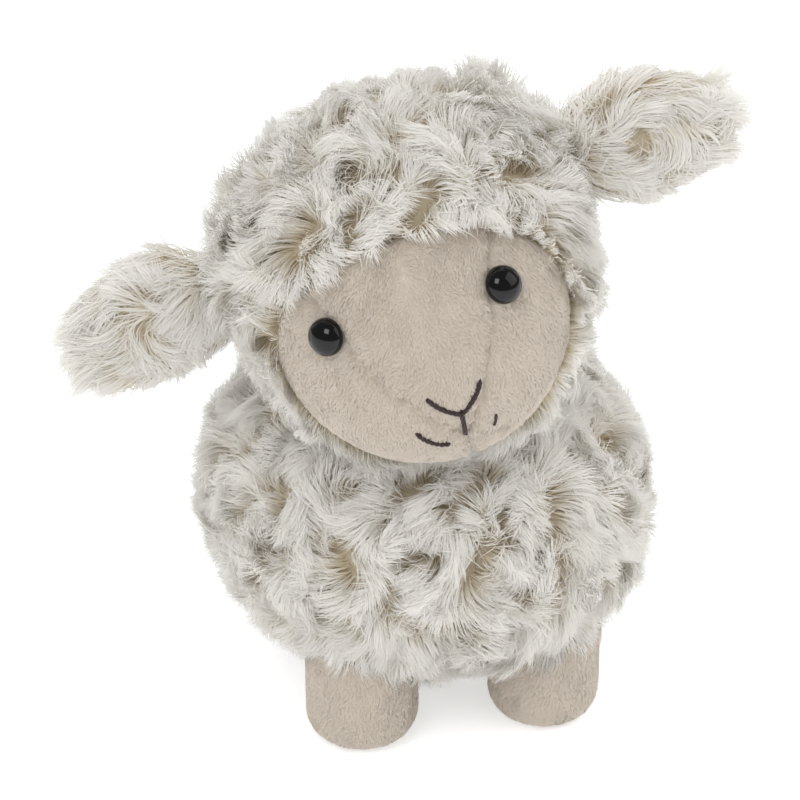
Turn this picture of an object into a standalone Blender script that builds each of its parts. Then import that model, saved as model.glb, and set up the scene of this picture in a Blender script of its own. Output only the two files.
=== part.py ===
"""A standing plush sheep, cut and sewn from long-pile fur and short-nap cloth.

Metres, +Z up. The sheep faces -Y, so its left side is at +X. It is built in its own stance,
with the middle of its body on the Z axis, and at the end the stance is moved so that the
origin lies on the floor under the middle of the whole toy.
"""

import math

import bmesh
import bpy
import numpy as np
from mathutils import Euler, Matrix, Vector

# Cloth and sewing
PILE_DEPTH = 0.0090  # long-pile fur: its backing and the pile that stands on it
NAP_THICKNESS = 0.0020  # short-nap cloth of the face and legs
SEAM_GAP = 0.0003  # between pieces that are sewn or seated together
PIVOT_CLEARANCE = 0.0008  # round a ball-shaped end that rolls in its seat
PARTING_DEPTH_SHARE = 0.42  # how much of its height the pile loses where it parts
PARTING_SPREAD = math.radians(8)
BODY_PARTING_GAP, HEAD_PARTING_GAP = math.radians(19), math.radians(20)  # seen from the middle
BODY_PARTING_ORDER, HEAD_PARTING_ORDER = 5, 6

# Body
BODY_HALF_WIDTH = 0.0660
BODY_HALF_LENGTH = 0.0680
BODY_HALF_HEIGHT = 0.0500
BODY_CENTRE_HEIGHT = 0.0570
BODY_SQUARENESS = 2.25  # 2 is a plain oval
BODY_TAPER_SHARE = 0.04  # the rump is this share fuller than the middle
BELLY_HALF_ANGLE = math.radians(33)  # of the belly panel, seen from the front

# Head
HEAD_RADIUS = 0.0520  # over the fur
HEAD_SINK = 0.0202  # how far the head's ball sits in the body
HEAD_CENTRE = (-0.0098, -0.0200, BODY_CENTRE_HEIGHT + BODY_HALF_HEIGHT + HEAD_RADIUS - HEAD_SINK)
HEAD_TILT = math.radians(16.5)  # its left side is raised
HEAD_TURN = math.radians(-8.8)  # towards its right side
CHIN_PILE = 0.0022
CROWN_RISE = 0.0025  # the fur stands higher on top
FACE_HALF_ANGLE_ACROSS = math.radians(54)
FACE_HALF_ANGLE_UPRIGHT = math.radians(40)
FACE_DROP = math.radians(9)  # the middle of the face below level
SNOUT_REACH = 0.0150
SNOUT_DROP = math.radians(28)
SNOUT_SPREAD = math.radians(39)
THROAT_RISE = math.radians(-60)  # below this the head is a plain ball
THROAT_FADE = math.radians(16)
SNOUT_WIDENING_SHARE = 0.80  # below 1, the muzzle is wider than tall
NECK_HOLE_RADIUS = 0.0205
NECK_BOSS_HALF_ANGLE = math.radians(21)
NECK_PAD_RADIUS = 0.0185
NECK_PAD_DEPTH = 0.0120

# Face fittings
EYE_TURN = math.radians(27.3)  # each eye's place round the head
EYE_RISE = math.radians(6)
EYE_RADIUS = 0.0050
EYE_DOME_HEIGHT = 0.0046
EYE_RIM_HEIGHT = 0.0006
SHANK_RADIUS = 0.0016
SHANK_LENGTH = 0.0080
WASHER_RADIUS = 0.0052
WASHER_THICKNESS = 0.0014
GUSSET_TOP_TURN = math.radians(24)  # the forehead panel's edge at eye height
STITCH_RADIUS = 0.0007
PROBE_ANGLE = math.radians(2)  # how far apart the face's slope is taken

# Each stitched line as (turn, rise) seen from the middle of the head, in degrees.
# The turn is counted from the nose, which is sewn a little to the left.
NOSE_TURN = 4.0
NOSE_ARM_TURNS = ((0.9, -19.8), (3.2, -18.2), (5.5, -16.0), (7.4, -13.2))
PHILTRUM_TURNS = ((0.0, -21.4), (-0.3, -24.5), (-0.6, -27.6))
# The smile is longer on its right side than on its left.
MOUTH_TURNS = {
    "left": ((10.0, -26.6), (11.4, -25.2), (12.4, -23.6)),
    "right": ((5.2, -28.8), (8.4, -28.2), (11.2, -26.0), (13.2, -22.9)),
}

# Ears
EAR_LENGTH = 0.0430  # from the seam to the tip
EAR_HALF_WIDTH = 0.0175
EAR_HALF_THICKNESS = 0.0080
EAR_ROOT_RADIUS = 0.0070
EAR_ROOT_HALF_WIDTH = 0.0150
EAR_STANDOFF = 0.0020  # seam line outside the fur's face
EAR_BACK = 0.0040
EAR_HEIGHT = {"left": 0.0155, "right": 0.0045}
EAR_FACE_TILT = math.radians(14)  # the broad face looks up a little
EAR_RISE = {"left": math.radians(-7), "right": math.radians(-8)}
LOBE_TAPER_SHARE = 0.14  # a lobe is this share wider near its tip

# Tail
TAIL_LENGTH = 0.0290
TAIL_HALF_WIDTH = 0.0120
TAIL_HALF_THICKNESS = 0.0062
TAIL_ROOT_RADIUS = 0.0058
TAIL_ROOT_HALF_WIDTH = 0.0110
TAIL_STANDOFF = 0.0035
TAIL_HEIGHT = 0.0760
TAIL_DROP = math.radians(24)

# Legs
LEG_RADIUS = 0.0156
LEG_PIVOT_HEIGHT = 0.0240
LEG_SPREAD = 0.0266  # from the middle to each leg
LEG_FRONT = -0.0350
LEG_REAR = 0.0350
LEG_SWING = math.radians(12)
LEG_RIM_ANGLE = math.radians(50)  # where the sleeve ends on the ball, from its top
TOE_RADIUS = 0.0080
HEM_ANGLE = math.radians(68)  # how far the sleeve turns under the foot
SOLE_THICKNESS = 0.0020

# Modelling
CUTTER_SIZE = 0.4000
OVERRUN = 0.0030  # how far a cutter runs past what it cuts
BODY_SEGMENTS, BODY_RINGS = 32, 16
HEAD_SEGMENTS, HEAD_RINGS = 40, 20
SEAT_SEGMENTS, SEAT_RINGS = 36, 18
LOBE_SEGMENTS, LOBE_RINGS = 18, 12
TURNED_STEPS = 18
LEG_STEPS = 16
SEAM_WELD = 0.00001

FUR = ("fur", (0.72, 0.69, 0.63), 0.9)
NAP = ("nap_cloth", (0.60, 0.51, 0.41), 0.85)
FIBRE = ("fibre_fill", (0.86, 0.86, 0.84), 0.95)
EYE_PLASTIC = ("eye_plastic", (0.008, 0.008, 0.009), 0.08)
WASHER_PLASTIC = ("washer_plastic", (0.75, 0.75, 0.73), 0.45)
THREAD = ("thread", (0.035, 0.02, 0.014), 0.6)

SIDES = {"left": 1, "right": -1}


def material(look):
    name, colour, roughness = look
    found = bpy.data.materials.get(name)
    if found:
        return found
    made = bpy.data.materials.new(name)
    made.use_nodes = True
    shader = made.node_tree.nodes["Principled BSDF"]
    shader.inputs["Base Color"].default_value = (*colour, 1)
    shader.inputs["Roughness"].default_value = roughness
    shader.inputs["Metallic"].default_value = 0
    return made


def clear_scene():
    for old in list(bpy.data.objects):
        bpy.data.objects.remove(old)


def collection(name):
    found = bpy.data.collections.get(name)
    if not found:
        found = bpy.data.collections.new(name)
        bpy.context.scene.collection.children.link(found)
    return found


def empty(name, parent, place, turn=None):
    made = bpy.data.objects.new(name, None)
    collection("plush_sheep").objects.link(made)
    made.parent = parent
    made.location = place
    if turn:
        made.rotation_euler = turn
    return made


def piece(name, mesh, look, parent):
    """A part of the toy, placed in its parent's frame."""
    made = bpy.data.objects.new(name, mesh)
    collection("plush_sheep").objects.link(made)
    made.parent = parent
    mesh.materials.append(material(look))
    mesh.shade_smooth()
    return made


def cutter(name, mesh, parent):
    """A tool that only cuts, so it is left out of renders."""
    made = bpy.data.objects.new(name, mesh)
    collection("cutters").objects.link(made)
    made.parent = parent
    made.hide_render = True
    made.display_type = "WIRE"
    return made


def cut(obj, *tools):
    for tool in tools:
        boolean = obj.modifiers.new(tool.name, "BOOLEAN")
        boolean.operation = "DIFFERENCE"
        boolean.object = tool


def to_mesh(bm, name):
    mesh = bpy.data.meshes.new(name)
    bm.to_mesh(mesh)
    bm.free()
    return mesh


def blob(name, segments, rings, shape):
    """A closed ball whose point in each direction is given by shape(direction)."""
    bm = bmesh.new()
    bmesh.ops.create_uvsphere(bm, u_segments=segments, v_segments=rings, radius=1)
    for vertex in bm.verts:
        vertex.co = shape(vertex.co.normalized())
    # Every layer splits its squares the same way, so that nested layers never cross.
    bmesh.ops.triangulate(bm, faces=bm.faces, quad_method="FIXED")
    return to_mesh(bm, name)


def ball(name, radius, segments, rings):
    return blob(name, segments, rings, lambda way: way * radius)


def half_space(name, parent, point, normal):
    """A block that removes everything on the far side of a plane, where normal points."""
    bm = bmesh.new()
    bmesh.ops.create_cube(bm, size=CUTTER_SIZE)
    normal = Vector(normal).normalized()
    bmesh.ops.transform(bm, matrix=normal.to_track_quat("Z", "Y").to_matrix(), verts=bm.verts)
    bmesh.ops.translate(bm, vec=Vector(point) + normal * (CUTTER_SIZE / 2), verts=bm.verts)
    return cutter(name, to_mesh(bm, name), parent)


def rod(name, parent, start, end, radius):
    """A round cutter between two points."""
    start, end = Vector(start), Vector(end)
    bm = bmesh.new()
    bmesh.ops.create_cone(bm, cap_ends=True, segments=TURNED_STEPS, radius1=radius,
                          radius2=radius, depth=(end - start).length)
    turn = (end - start).to_track_quat("Z", "Y").to_matrix()
    bmesh.ops.transform(bm, matrix=turn, verts=bm.verts)
    bmesh.ops.translate(bm, vec=(start + end) / 2, verts=bm.verts)
    return cutter(name, to_mesh(bm, name), parent)


def turned_mesh(name, profile, closed):
    """A profile at +X as (radius, height) points, top to bottom on its outer side."""
    bm = bmesh.new()
    points = [bm.verts.new((radius, 0, height)) for radius, height in profile]
    for first, second in zip(points, points[1:]):
        bm.edges.new((first, second))
    if closed:
        bm.edges.new((points[-1], points[0]))
    return to_mesh(bm, name)


def turn_on_lathe(obj, steps):
    screw = obj.modifiers.new("turned", "SCREW")
    screw.angle = math.tau
    screw.steps = steps
    screw.render_steps = steps
    screw.use_merge_vertices = True
    screw.merge_threshold = SEAM_WELD
    screw.use_smooth_shade = True


def arc(centre, radius, start, end, steps):
    """Points of an arc in a profile, its angles up from level, as (radius, height)."""
    turns = [start + (end - start) * step / steps for step in range(steps + 1)]
    return [(centre[0] + radius * math.cos(turn), centre[1] + radius * math.sin(turn)) for turn in turns]


# Body: an egg lying level, in three fur panels round one filling

def parting_ways(segments, rings, gap, order):
    """Corners of a ball, picked in a mixed order, that keep the gap from each other."""
    turns = np.arange(segments) * math.tau / segments
    drops = np.arange(1, rings) * math.pi / rings
    turns, drops = (grid.ravel() for grid in np.meshgrid(turns, drops))
    corners = np.stack([np.sin(drops) * np.cos(turns), np.sin(drops) * np.sin(turns), np.cos(drops)], axis=1)
    picked = []
    for corner in np.random.default_rng(order).permutation(corners):
        if all(corner @ other < math.cos(gap) for other in picked):
            picked.append(corner)
    return np.array(picked)


def pile_share(way, partings):
    """How much of its full height the pile keeps; it lies low where it parts."""
    apart = math.acos(min(np.max(partings @ np.array(way)), 1))
    return 1 - PARTING_DEPTH_SHARE * math.exp(-((apart / PARTING_SPREAD) ** 2))


def body_point(way, inset):
    """An egg whose cross-sections are a little squarer than ovals."""
    squareness = sum(abs(share) ** BODY_SQUARENESS for share in way) ** (-1 / BODY_SQUARENESS)
    fullness = squareness * (1 + BODY_TAPER_SHARE * way.y)
    return Vector((
        way.x * (BODY_HALF_WIDTH - inset) * fullness,
        way.y * (BODY_HALF_LENGTH - inset) * squareness,
        way.z * (BODY_HALF_HEIGHT - inset) * fullness,
    ))


def body_blob(name, inset):
    return blob(name, BODY_SEGMENTS, BODY_RINGS, lambda way: body_point(way, inset))


def body_fur_blob(name):
    partings = parting_ways(BODY_SEGMENTS, BODY_RINGS, BODY_PARTING_GAP, BODY_PARTING_ORDER)
    return blob(name, BODY_SEGMENTS, BODY_RINGS,
                lambda way: body_point(way, PILE_DEPTH * (1 - pile_share(way, partings))))


def build_body(body, sockets):
    """Two side panels that meet along the back, a belly panel between them, and the filling."""
    hollow = cutter("body_hollow", body_blob("body_hollow", PILE_DEPTH), body)
    outwards = {
        side: Vector((sign * math.cos(BELLY_HALF_ANGLE), 0, math.sin(BELLY_HALF_ANGLE)))
        for side, sign in SIDES.items()
    }
    for side, sign in SIDES.items():
        panel = piece(f"body_side_{side}", body_fur_blob(f"body_side_{side}"), FUR, body)
        beyond_spine = half_space(f"spine_cut_{side}", body, (sign * SEAM_GAP / 2, 0, 0), (-sign, 0, 0))
        beyond_belly = half_space(
            f"belly_seam_cut_{side}", body, outwards[side] * SEAM_GAP / 2, -outwards[side]
        )
        cut(panel, hollow, beyond_spine, beyond_belly, *sockets)
    belly = piece("belly_panel", body_fur_blob("belly_panel"), FUR, body)
    edges = [
        half_space(f"belly_edge_{side}", body, -way * SEAM_GAP / 2, way) for side, way in outwards.items()
    ]
    cut(belly, hollow, *edges, *sockets)
    filling = piece("body_stuffing", body_blob("body_stuffing", PILE_DEPTH + SEAM_GAP), FIBRE, body)
    cut(filling, *sockets)


# Head: a ball with a muzzle, in its own frame, facing -Y

def direction(turn, rise):
    """A unit vector turn round from straight ahead towards the left side, and rise above level."""
    return Vector((math.sin(turn) * math.cos(rise), -math.cos(turn) * math.cos(rise), math.sin(rise)))


def skin_distance(way):
    """How far the filling reaches from the middle of the head: a ball with the muzzle's swell."""
    ahead = direction(0, -SNOUT_DROP)
    squeezed = Vector((way.x * SNOUT_WIDENING_SHARE, way.y, way.z)).normalized()
    apart = ahead.angle(squeezed)
    above_throat = min(max((math.asin(way.z) - THROAT_RISE) / THROAT_FADE, 0), 1)
    swell = above_throat ** 2 * (3 - 2 * above_throat) * math.exp(-((apart / SNOUT_SPREAD) ** 2))
    return HEAD_RADIUS - PILE_DEPTH + SNOUT_REACH * swell


def face_distance(way):
    return skin_distance(way) + NAP_THICKNESS


def hood_distance(way, partings):
    """Over the fur, which is short under the chin."""
    full = max(HEAD_RADIUS + CROWN_RISE * max(way.z, 0) ** 2, skin_distance(way) + CHIN_PILE)
    skin = skin_distance(way)
    return skin + (full - skin) * pile_share(way, partings)


def filling_distance(way):
    """The filling, with the boss that stands in the neck's hole."""
    if way.angle(Vector((0, 0, -1))) < NECK_BOSS_HALF_ANGLE:
        return HEAD_RADIUS
    return skin_distance(way) - SEAM_GAP


def head_blob(name, distance):
    return blob(name, HEAD_SEGMENTS, HEAD_RINGS, lambda way: way * distance(way))


def face_cone(name, head, forward):
    """An oval cone from the middle of the head, through the edge of the face."""
    length = HEAD_RADIUS + SNOUT_REACH + OVERRUN
    across = length * math.tan(FACE_HALF_ANGLE_ACROSS)
    upright = length * math.tan(FACE_HALF_ANGLE_UPRIGHT)
    bm = bmesh.new()
    bmesh.ops.create_cone(bm, cap_ends=True, segments=SEAT_SEGMENTS, radius1=0, radius2=1, depth=length)
    bmesh.ops.scale(bm, vec=(across, upright, 1), verts=bm.verts)
    bmesh.ops.translate(bm, vec=(0, 0, length / 2 + forward), verts=bm.verts)
    face_axis = Matrix.Rotation(math.pi / 2 + FACE_DROP, 3, "X")
    bmesh.ops.transform(bm, matrix=face_axis, verts=bm.verts)
    return cutter(name, to_mesh(bm, name), head)


def build_hood(head, skin, face_opening, grooves):
    """Two halves of the fur hood, which meet over the crown and under the chin."""
    neck_hole = rod("neck_hole", head, (0, 0, 0), (0, 0, -HEAD_RADIUS - OVERRUN), NECK_HOLE_RADIUS)
    partings = parting_ways(HEAD_SEGMENTS, HEAD_RINGS, HEAD_PARTING_GAP, HEAD_PARTING_ORDER)
    for side, sign in SIDES.items():
        fur = head_blob(f"hood_{side}", lambda way: hood_distance(way, partings))
        half = piece(f"hood_{side}", fur, FUR, head)
        middle = half_space(f"hood_seam_{side}", head, (sign * SEAM_GAP / 2, 0, 0), (-sign, 0, 0))
        cut(half, skin, middle, face_opening, neck_hole, grooves[side])


def build_face(head, skin, shanks):
    """The forehead panel, which narrows to the nose, and a cheek on each side of it."""
    nose = direction(math.radians(NOSE_TURN), -SNOUT_DROP)
    shift = SEAM_GAP / math.sin(FACE_HALF_ANGLE_UPRIGHT)
    inside = face_cone("face_outline", head, shift)
    edges = {}
    for side, sign in SIDES.items():
        brow = direction(sign * GUSSET_TOP_TURN, EYE_RISE)
        edges[side] = nose.cross(brow).normalized() * -sign
        if edges[side].x * sign < 0:
            edges[side].negate()
    forehead = piece("forehead_panel", head_blob("forehead_panel", face_distance), NAP, head)
    keep_inside(forehead, inside)
    beyond = [
        half_space(f"forehead_edge_{side}", head, -way * SEAM_GAP / 2, way) for side, way in edges.items()
    ]
    cut(forehead, skin, *beyond)
    below_nose = Vector((math.cos(math.radians(NOSE_TURN)), math.sin(math.radians(NOSE_TURN)), 0))
    for side, sign in SIDES.items():
        cheek = piece(f"cheek_{side}", head_blob(f"cheek_{side}", face_distance), NAP, head)
        keep_inside(cheek, inside)
        outwards = below_nose * sign
        chin_seam = half_space(f"chin_seam_{side}", head, outwards * SEAM_GAP / 2, -outwards)
        brow_seam = half_space(f"brow_seam_{side}", head, edges[side] * SEAM_GAP / 2, -edges[side])
        cut(cheek, skin, chin_seam, brow_seam, *shanks[side])


def keep_inside(obj, outline):
    boolean = obj.modifiers.new(outline.name, "BOOLEAN")
    boolean.operation = "INTERSECT"
    boolean.object = outline


def on_face(turn, rise, lift):
    way = direction(turn, rise)
    return way * (face_distance(way) + lift)


def face_normal(turn, rise):
    """The way the face looks at a point, from its slope either side of the point."""
    across = on_face(turn + PROBE_ANGLE, rise, 0) - on_face(turn - PROBE_ANGLE, rise, 0)
    upright = on_face(turn, rise + PROBE_ANGLE, 0) - on_face(turn, rise - PROBE_ANGLE, 0)
    return across.cross(upright).normalized()


def eye_frame(head, side, sign):
    """An empty on the face under an eye, its Z axis pointing out of the head."""
    turn = sign * EYE_TURN
    normal = face_normal(turn, EYE_RISE)
    seat = empty(f"eye_seat_{side}", head, on_face(turn, EYE_RISE, 0) + normal * SEAM_GAP)
    seat.rotation_mode = "QUATERNION"
    seat.rotation_quaternion = normal.to_track_quat("Z", "Y")
    return seat


def washer_top():
    """The washer's outer face below the eye's seat."""
    return -(NAP_THICKNESS + 2 * SEAM_GAP + SEAM_GAP)


def build_eye(side, seat):
    """A domed eye whose shank goes through the cheek into a lock washer."""
    dome = [
        (EYE_RADIUS * math.cos(turn), EYE_RIM_HEIGHT + (EYE_DOME_HEIGHT - EYE_RIM_HEIGHT) * math.sin(turn))
        for turn in (math.pi / 2 * (1 - step / 6) for step in range(7))
    ]
    profile = [(0, EYE_DOME_HEIGHT), *dome[1:], (EYE_RADIUS, 0), (SHANK_RADIUS, 0),
               (SHANK_RADIUS, -SHANK_LENGTH), (0, -SHANK_LENGTH)]
    eye = piece(f"eye_{side}", turned_mesh(f"eye_{side}", profile, False), EYE_PLASTIC, seat)
    turn_on_lathe(eye, TURNED_STEPS)
    bore = SHANK_RADIUS + SEAM_GAP
    top = washer_top()
    ring = [(WASHER_RADIUS, top), (WASHER_RADIUS, top - WASHER_THICKNESS),
            (bore, top - WASHER_THICKNESS), (bore, top)]
    washer = piece(f"eye_washer_{side}", turned_mesh(f"eye_washer_{side}", ring, True), WASHER_PLASTIC, seat)
    turn_on_lathe(washer, TURNED_STEPS)


def stitch(name, turns, sign, head):
    """A raised line of embroidery: a thread bundle that follows the face."""
    curve = bpy.data.curves.new(name, "CURVE")
    curve.dimensions = "3D"
    curve.bevel_depth = STITCH_RADIUS
    curve.bevel_resolution = 1
    curve.use_fill_caps = True
    points = smooth_route([Vector((NOSE_TURN + sign * turn, rise, 0)) for turn, rise in turns])
    line = curve.splines.new("POLY")
    line.points.add(len(points) - 1)
    for point, place in zip(line.points, points):
        spot = on_face(math.radians(place.x), math.radians(place.y), SEAM_GAP + STITCH_RADIUS)
        point.co = (*spot, 1)
    made = bpy.data.objects.new(name, curve)
    collection("plush_sheep").objects.link(made)
    made.parent = head
    curve.materials.append(material(THREAD))
    return made


def smooth_route(places, steps=3):
    """Catmull-Rom points through the places, with a few steps between each two."""
    ends = [places[0] * 2 - places[1], *places, places[-1] * 2 - places[-2]]
    route = []
    for before, start, end, after in zip(ends, ends[1:], ends[2:], ends[3:]):
        for step in range(steps):
            t = step / steps
            route.append(0.5 * (
                2 * start + (end - before) * t + (2 * before - 5 * start + 4 * end - after) * t * t
                + (3 * start - before - 3 * end + after) * t ** 3
            ))
    return [*route, places[-1]]


def build_embroidery(head):
    """A Y-shaped nose and a short smile on each side of it."""
    for side, sign in SIDES.items():
        stitch(f"nose_stitch_{side}", NOSE_ARM_TURNS, sign, head)
        stitch(f"mouth_stitch_{side}", MOUTH_TURNS[side], sign, head)
    stitch("philtrum_stitch", PHILTRUM_TURNS, 1, head)


def build_head(head, ear_grooves):
    skin = cutter("head_hollow", head_blob("head_hollow", skin_distance), head)
    face_opening = face_cone("face_opening", head, 0)
    shanks, pockets = {}, []
    for side, sign in SIDES.items():
        seat = eye_frame(head, side, sign)
        shanks[side] = (
            rod(f"shank_hole_{side}", seat, (0, 0, -NAP_THICKNESS - OVERRUN), (0, 0, OVERRUN),
                SHANK_RADIUS + SEAM_GAP),
            rod(f"eye_hollow_{side}", seat, (0, 0, -SEAM_GAP), (0, 0, OVERRUN), EYE_RADIUS + SEAM_GAP),
        )
        pockets.append(rod(f"shank_pocket_{side}", seat, (0, 0, -SHANK_LENGTH - SEAM_GAP), (0, 0, OVERRUN),
                           SHANK_RADIUS + SEAM_GAP))
        pockets.append(rod(f"washer_pocket_{side}", seat, (0, 0, washer_top() - WASHER_THICKNESS - SEAM_GAP),
                           (0, 0, OVERRUN), WASHER_RADIUS + SEAM_GAP))
        build_eye(side, seat)
    build_hood(head, skin, face_opening, ear_grooves)
    build_face(head, skin, shanks)
    filling = piece("head_stuffing", head_blob("head_stuffing", filling_distance), FIBRE, head)
    cut(filling, *pockets)
    build_embroidery(head)


# Ears and tail: flat lobes of two fur panels, in a frame with the seam on Z and the tip at +X

def lobe_mesh(name, length, half_width, half_thickness, root_radius):
    reach = (length + root_radius) / 2

    def shape(way):
        spread = 1 + LOBE_TAPER_SHARE * way.x
        return Vector((
            reach - root_radius + reach * way.x,
            half_thickness * way.y * spread,
            half_width * way.z * spread,
        ))

    bm = bmesh.new()
    bmesh.ops.create_uvsphere(bm, u_segments=LOBE_SEGMENTS, v_segments=LOBE_RINGS, radius=1)
    bmesh.ops.rotate(bm, matrix=Matrix.Rotation(math.pi / 2, 3, "Y"), verts=bm.verts)
    for vertex in bm.verts:
        vertex.co = shape(vertex.co.normalized())
    return to_mesh(bm, name)


def build_lobe(names, pivot, length, half_width, half_thickness, root_radius):
    """The panel on the -Y side of the seam and the one on the +Y side."""
    for name, sign in zip(names, (-1, 1)):
        panel = piece(name, lobe_mesh(name, length, half_width, half_thickness, root_radius), FUR, pivot)
        cut(panel, half_space(f"{name}_seam", pivot, (0, sign * SEAM_GAP / 2, 0), (0, -sign, 0)))


def groove(name, pivot, radius, half_width):
    reach = half_width + OVERRUN
    return rod(name, pivot, (0, 0, -reach), (0, 0, reach), radius + PIVOT_CLEARANCE)


def build_ear(head, side, sign):
    """An ear on its seam line, and the groove that its root lies in."""
    height = EAR_HEIGHT[side]
    out = math.sqrt(HEAD_RADIUS ** 2 - EAR_BACK ** 2 - height ** 2) + EAR_STANDOFF
    pivot = empty(f"ear_{side}_pivot", head, (sign * out, EAR_BACK, height))
    outward = Matrix.Rotation(0 if sign > 0 else math.pi, 3, "Z")
    rise = Matrix.Rotation(-EAR_RISE[side], 3, "Y")
    face_up = Matrix.Rotation(-sign * EAR_FACE_TILT, 3, "X")
    pivot.rotation_euler = (outward @ rise @ face_up).to_euler()
    panels = ("front", "back") if sign > 0 else ("back", "front")
    names = [f"ear_{side}_{panel}" for panel in panels]
    build_lobe(names, pivot, EAR_LENGTH, EAR_HALF_WIDTH, EAR_HALF_THICKNESS, EAR_ROOT_RADIUS)
    return groove(f"ear_{side}_groove", pivot, EAR_ROOT_RADIUS, EAR_ROOT_HALF_WIDTH)


def build_tail(body):
    """A short tail, sewn on along a level seam at the back of the body."""
    share = (TAIL_HEIGHT - BODY_CENTRE_HEIGHT) / BODY_HALF_HEIGHT
    back = BODY_HALF_LENGTH * math.sqrt(1 - share ** 2) + TAIL_STANDOFF
    pivot = empty("tail_pivot", body, (0, back, TAIL_HEIGHT - BODY_CENTRE_HEIGHT))
    axes = Matrix((
        (0, 0, -1),
        (math.cos(TAIL_DROP), -math.sin(TAIL_DROP), 0),
        (-math.sin(TAIL_DROP), -math.cos(TAIL_DROP), 0),
    ))
    pivot.rotation_euler = axes.to_euler()
    build_lobe(("tail_upper", "tail_lower"), pivot, TAIL_LENGTH, TAIL_HALF_WIDTH,
               TAIL_HALF_THICKNESS, TAIL_ROOT_RADIUS)
    return groove("tail_groove", pivot, TAIL_ROOT_RADIUS, TAIL_ROOT_HALF_WIDTH)


# Legs: a round-topped sleeve with a sole, in a frame at the ball's centre

def sleeve_side(inset, steps=3):
    """One side of the sleeve, from its rim over the ball and down to the hem under the foot."""
    radius = LEG_RADIUS - inset
    toe = TOE_RADIUS - inset
    ball_part = arc((0, 0), radius, math.pi / 2 - LEG_RIM_ANGLE, 0, steps)
    toe_centre = (LEG_RADIUS - TOE_RADIUS, TOE_RADIUS - LEG_PIVOT_HEIGHT)
    return ball_part + arc(toe_centre, toe, 0, -HEM_ANGLE, steps + 1)


def build_leg(leg, name):
    outer, inner = sleeve_side(0), sleeve_side(NAP_THICKNESS)
    sleeve = piece(f"{name}_sleeve", turned_mesh(f"{name}_sleeve", outer + inner[::-1], True), NAP, leg)
    turn_on_lathe(sleeve, LEG_STEPS)
    hem_low, hem_high = outer[-1], inner[-1]
    slope = (hem_low[0] - hem_high[0]) / (hem_high[1] - hem_low[1])
    room = SEAM_GAP / math.sin(HEM_ANGLE)
    floor = -LEG_PIVOT_HEIGHT
    top = floor + SOLE_THICKNESS
    bottom_radius = hem_low[0] + slope * (hem_low[1] - floor) - room
    top_radius = hem_low[0] - slope * (top - hem_low[1]) - room
    disc = [(0, top), (top_radius, top), (bottom_radius, floor), (0, floor)]
    sole = piece(f"{name}_sole", turned_mesh(f"{name}_sole", disc, False), NAP, leg)
    turn_on_lathe(sole, LEG_STEPS)
    inset = NAP_THICKNESS + SEAM_GAP
    side = sleeve_side(inset)
    crown = arc((0, 0), LEG_RADIUS - inset, math.pi / 2, math.pi / 2 - LEG_RIM_ANGLE, 2)
    base = max(top + SEAM_GAP, side[-1][1])
    body = [point for point in side if point[1] > base]
    filling = [(0, LEG_RADIUS - inset), *crown[1:-1], *body, (top_radius, base), (0, base)]
    stuffing = piece(f"{name}_stuffing", turned_mesh(f"{name}_stuffing", filling, False), FIBRE, leg)
    turn_on_lathe(stuffing, LEG_STEPS)


def leg_socket(leg, name):
    """The seat of the ball, opening downwards as far as the leg swings."""
    radius = LEG_RADIUS + PIVOT_CLEARANCE
    flare = LEG_PIVOT_HEIGHT * math.tan(LEG_SWING)
    dome = arc((0, 0), radius, math.pi / 2, 0, 8)
    profile = [(0, radius), *dome[1:], (radius + flare, -LEG_PIVOT_HEIGHT), (0, -LEG_PIVOT_HEIGHT)]
    socket = cutter(f"{name}_socket", turned_mesh(f"{name}_socket", profile, False), leg)
    turn_on_lathe(socket, LEG_STEPS)
    return socket


def build_neck(stance):
    """The firm pad of fibre that the head rolls on, turning about the upright line through the head."""
    neck = empty("neck_pivot", stance, HEAD_CENTRE)
    bottom = -HEAD_RADIUS - NECK_PAD_DEPTH
    bm = bmesh.new()
    depth = NECK_PAD_DEPTH + HEAD_RADIUS / 2
    bmesh.ops.create_cone(bm, cap_ends=True, segments=SEAT_SEGMENTS, radius1=NECK_PAD_RADIUS,
                          radius2=NECK_PAD_RADIUS, depth=depth)
    bmesh.ops.translate(bm, vec=(0, 0, bottom + depth / 2), verts=bm.verts)
    pad = piece("neck_pad", to_mesh(bm, "neck_pad"), FIBRE, neck)
    seat = cutter("neck_seat", ball("neck_seat", HEAD_RADIUS + PIVOT_CLEARANCE, SEAT_SEGMENTS, SEAT_RINGS), neck)
    cut(pad, seat)
    pocket = rod("neck_pocket", neck, (0, 0, bottom - SEAM_GAP), (0, 0, 0), NECK_PAD_RADIUS + PIVOT_CLEARANCE)
    return seat, pocket


def centre_on_origin(stance):
    """Moves the stance so that the floor's origin lies under the middle of the toy's box."""
    bpy.context.view_layer.update()
    graph = bpy.context.evaluated_depsgraph_get()
    corners = []
    for obj in collection("plush_sheep").objects:
        if obj.type == "EMPTY":
            continue
        shown = obj.evaluated_get(graph)
        mesh = shown.to_mesh()
        corners += [shown.matrix_world @ vertex.co for vertex in mesh.vertices]
        shown.to_mesh_clear()
    low = [min(corner[axis] for corner in corners) for axis in range(3)]
    high = [max(corner[axis] for corner in corners) for axis in range(3)]
    stance.location = (-(low[0] + high[0]) / 2, -(low[1] + high[1]) / 2, -low[2])


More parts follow.
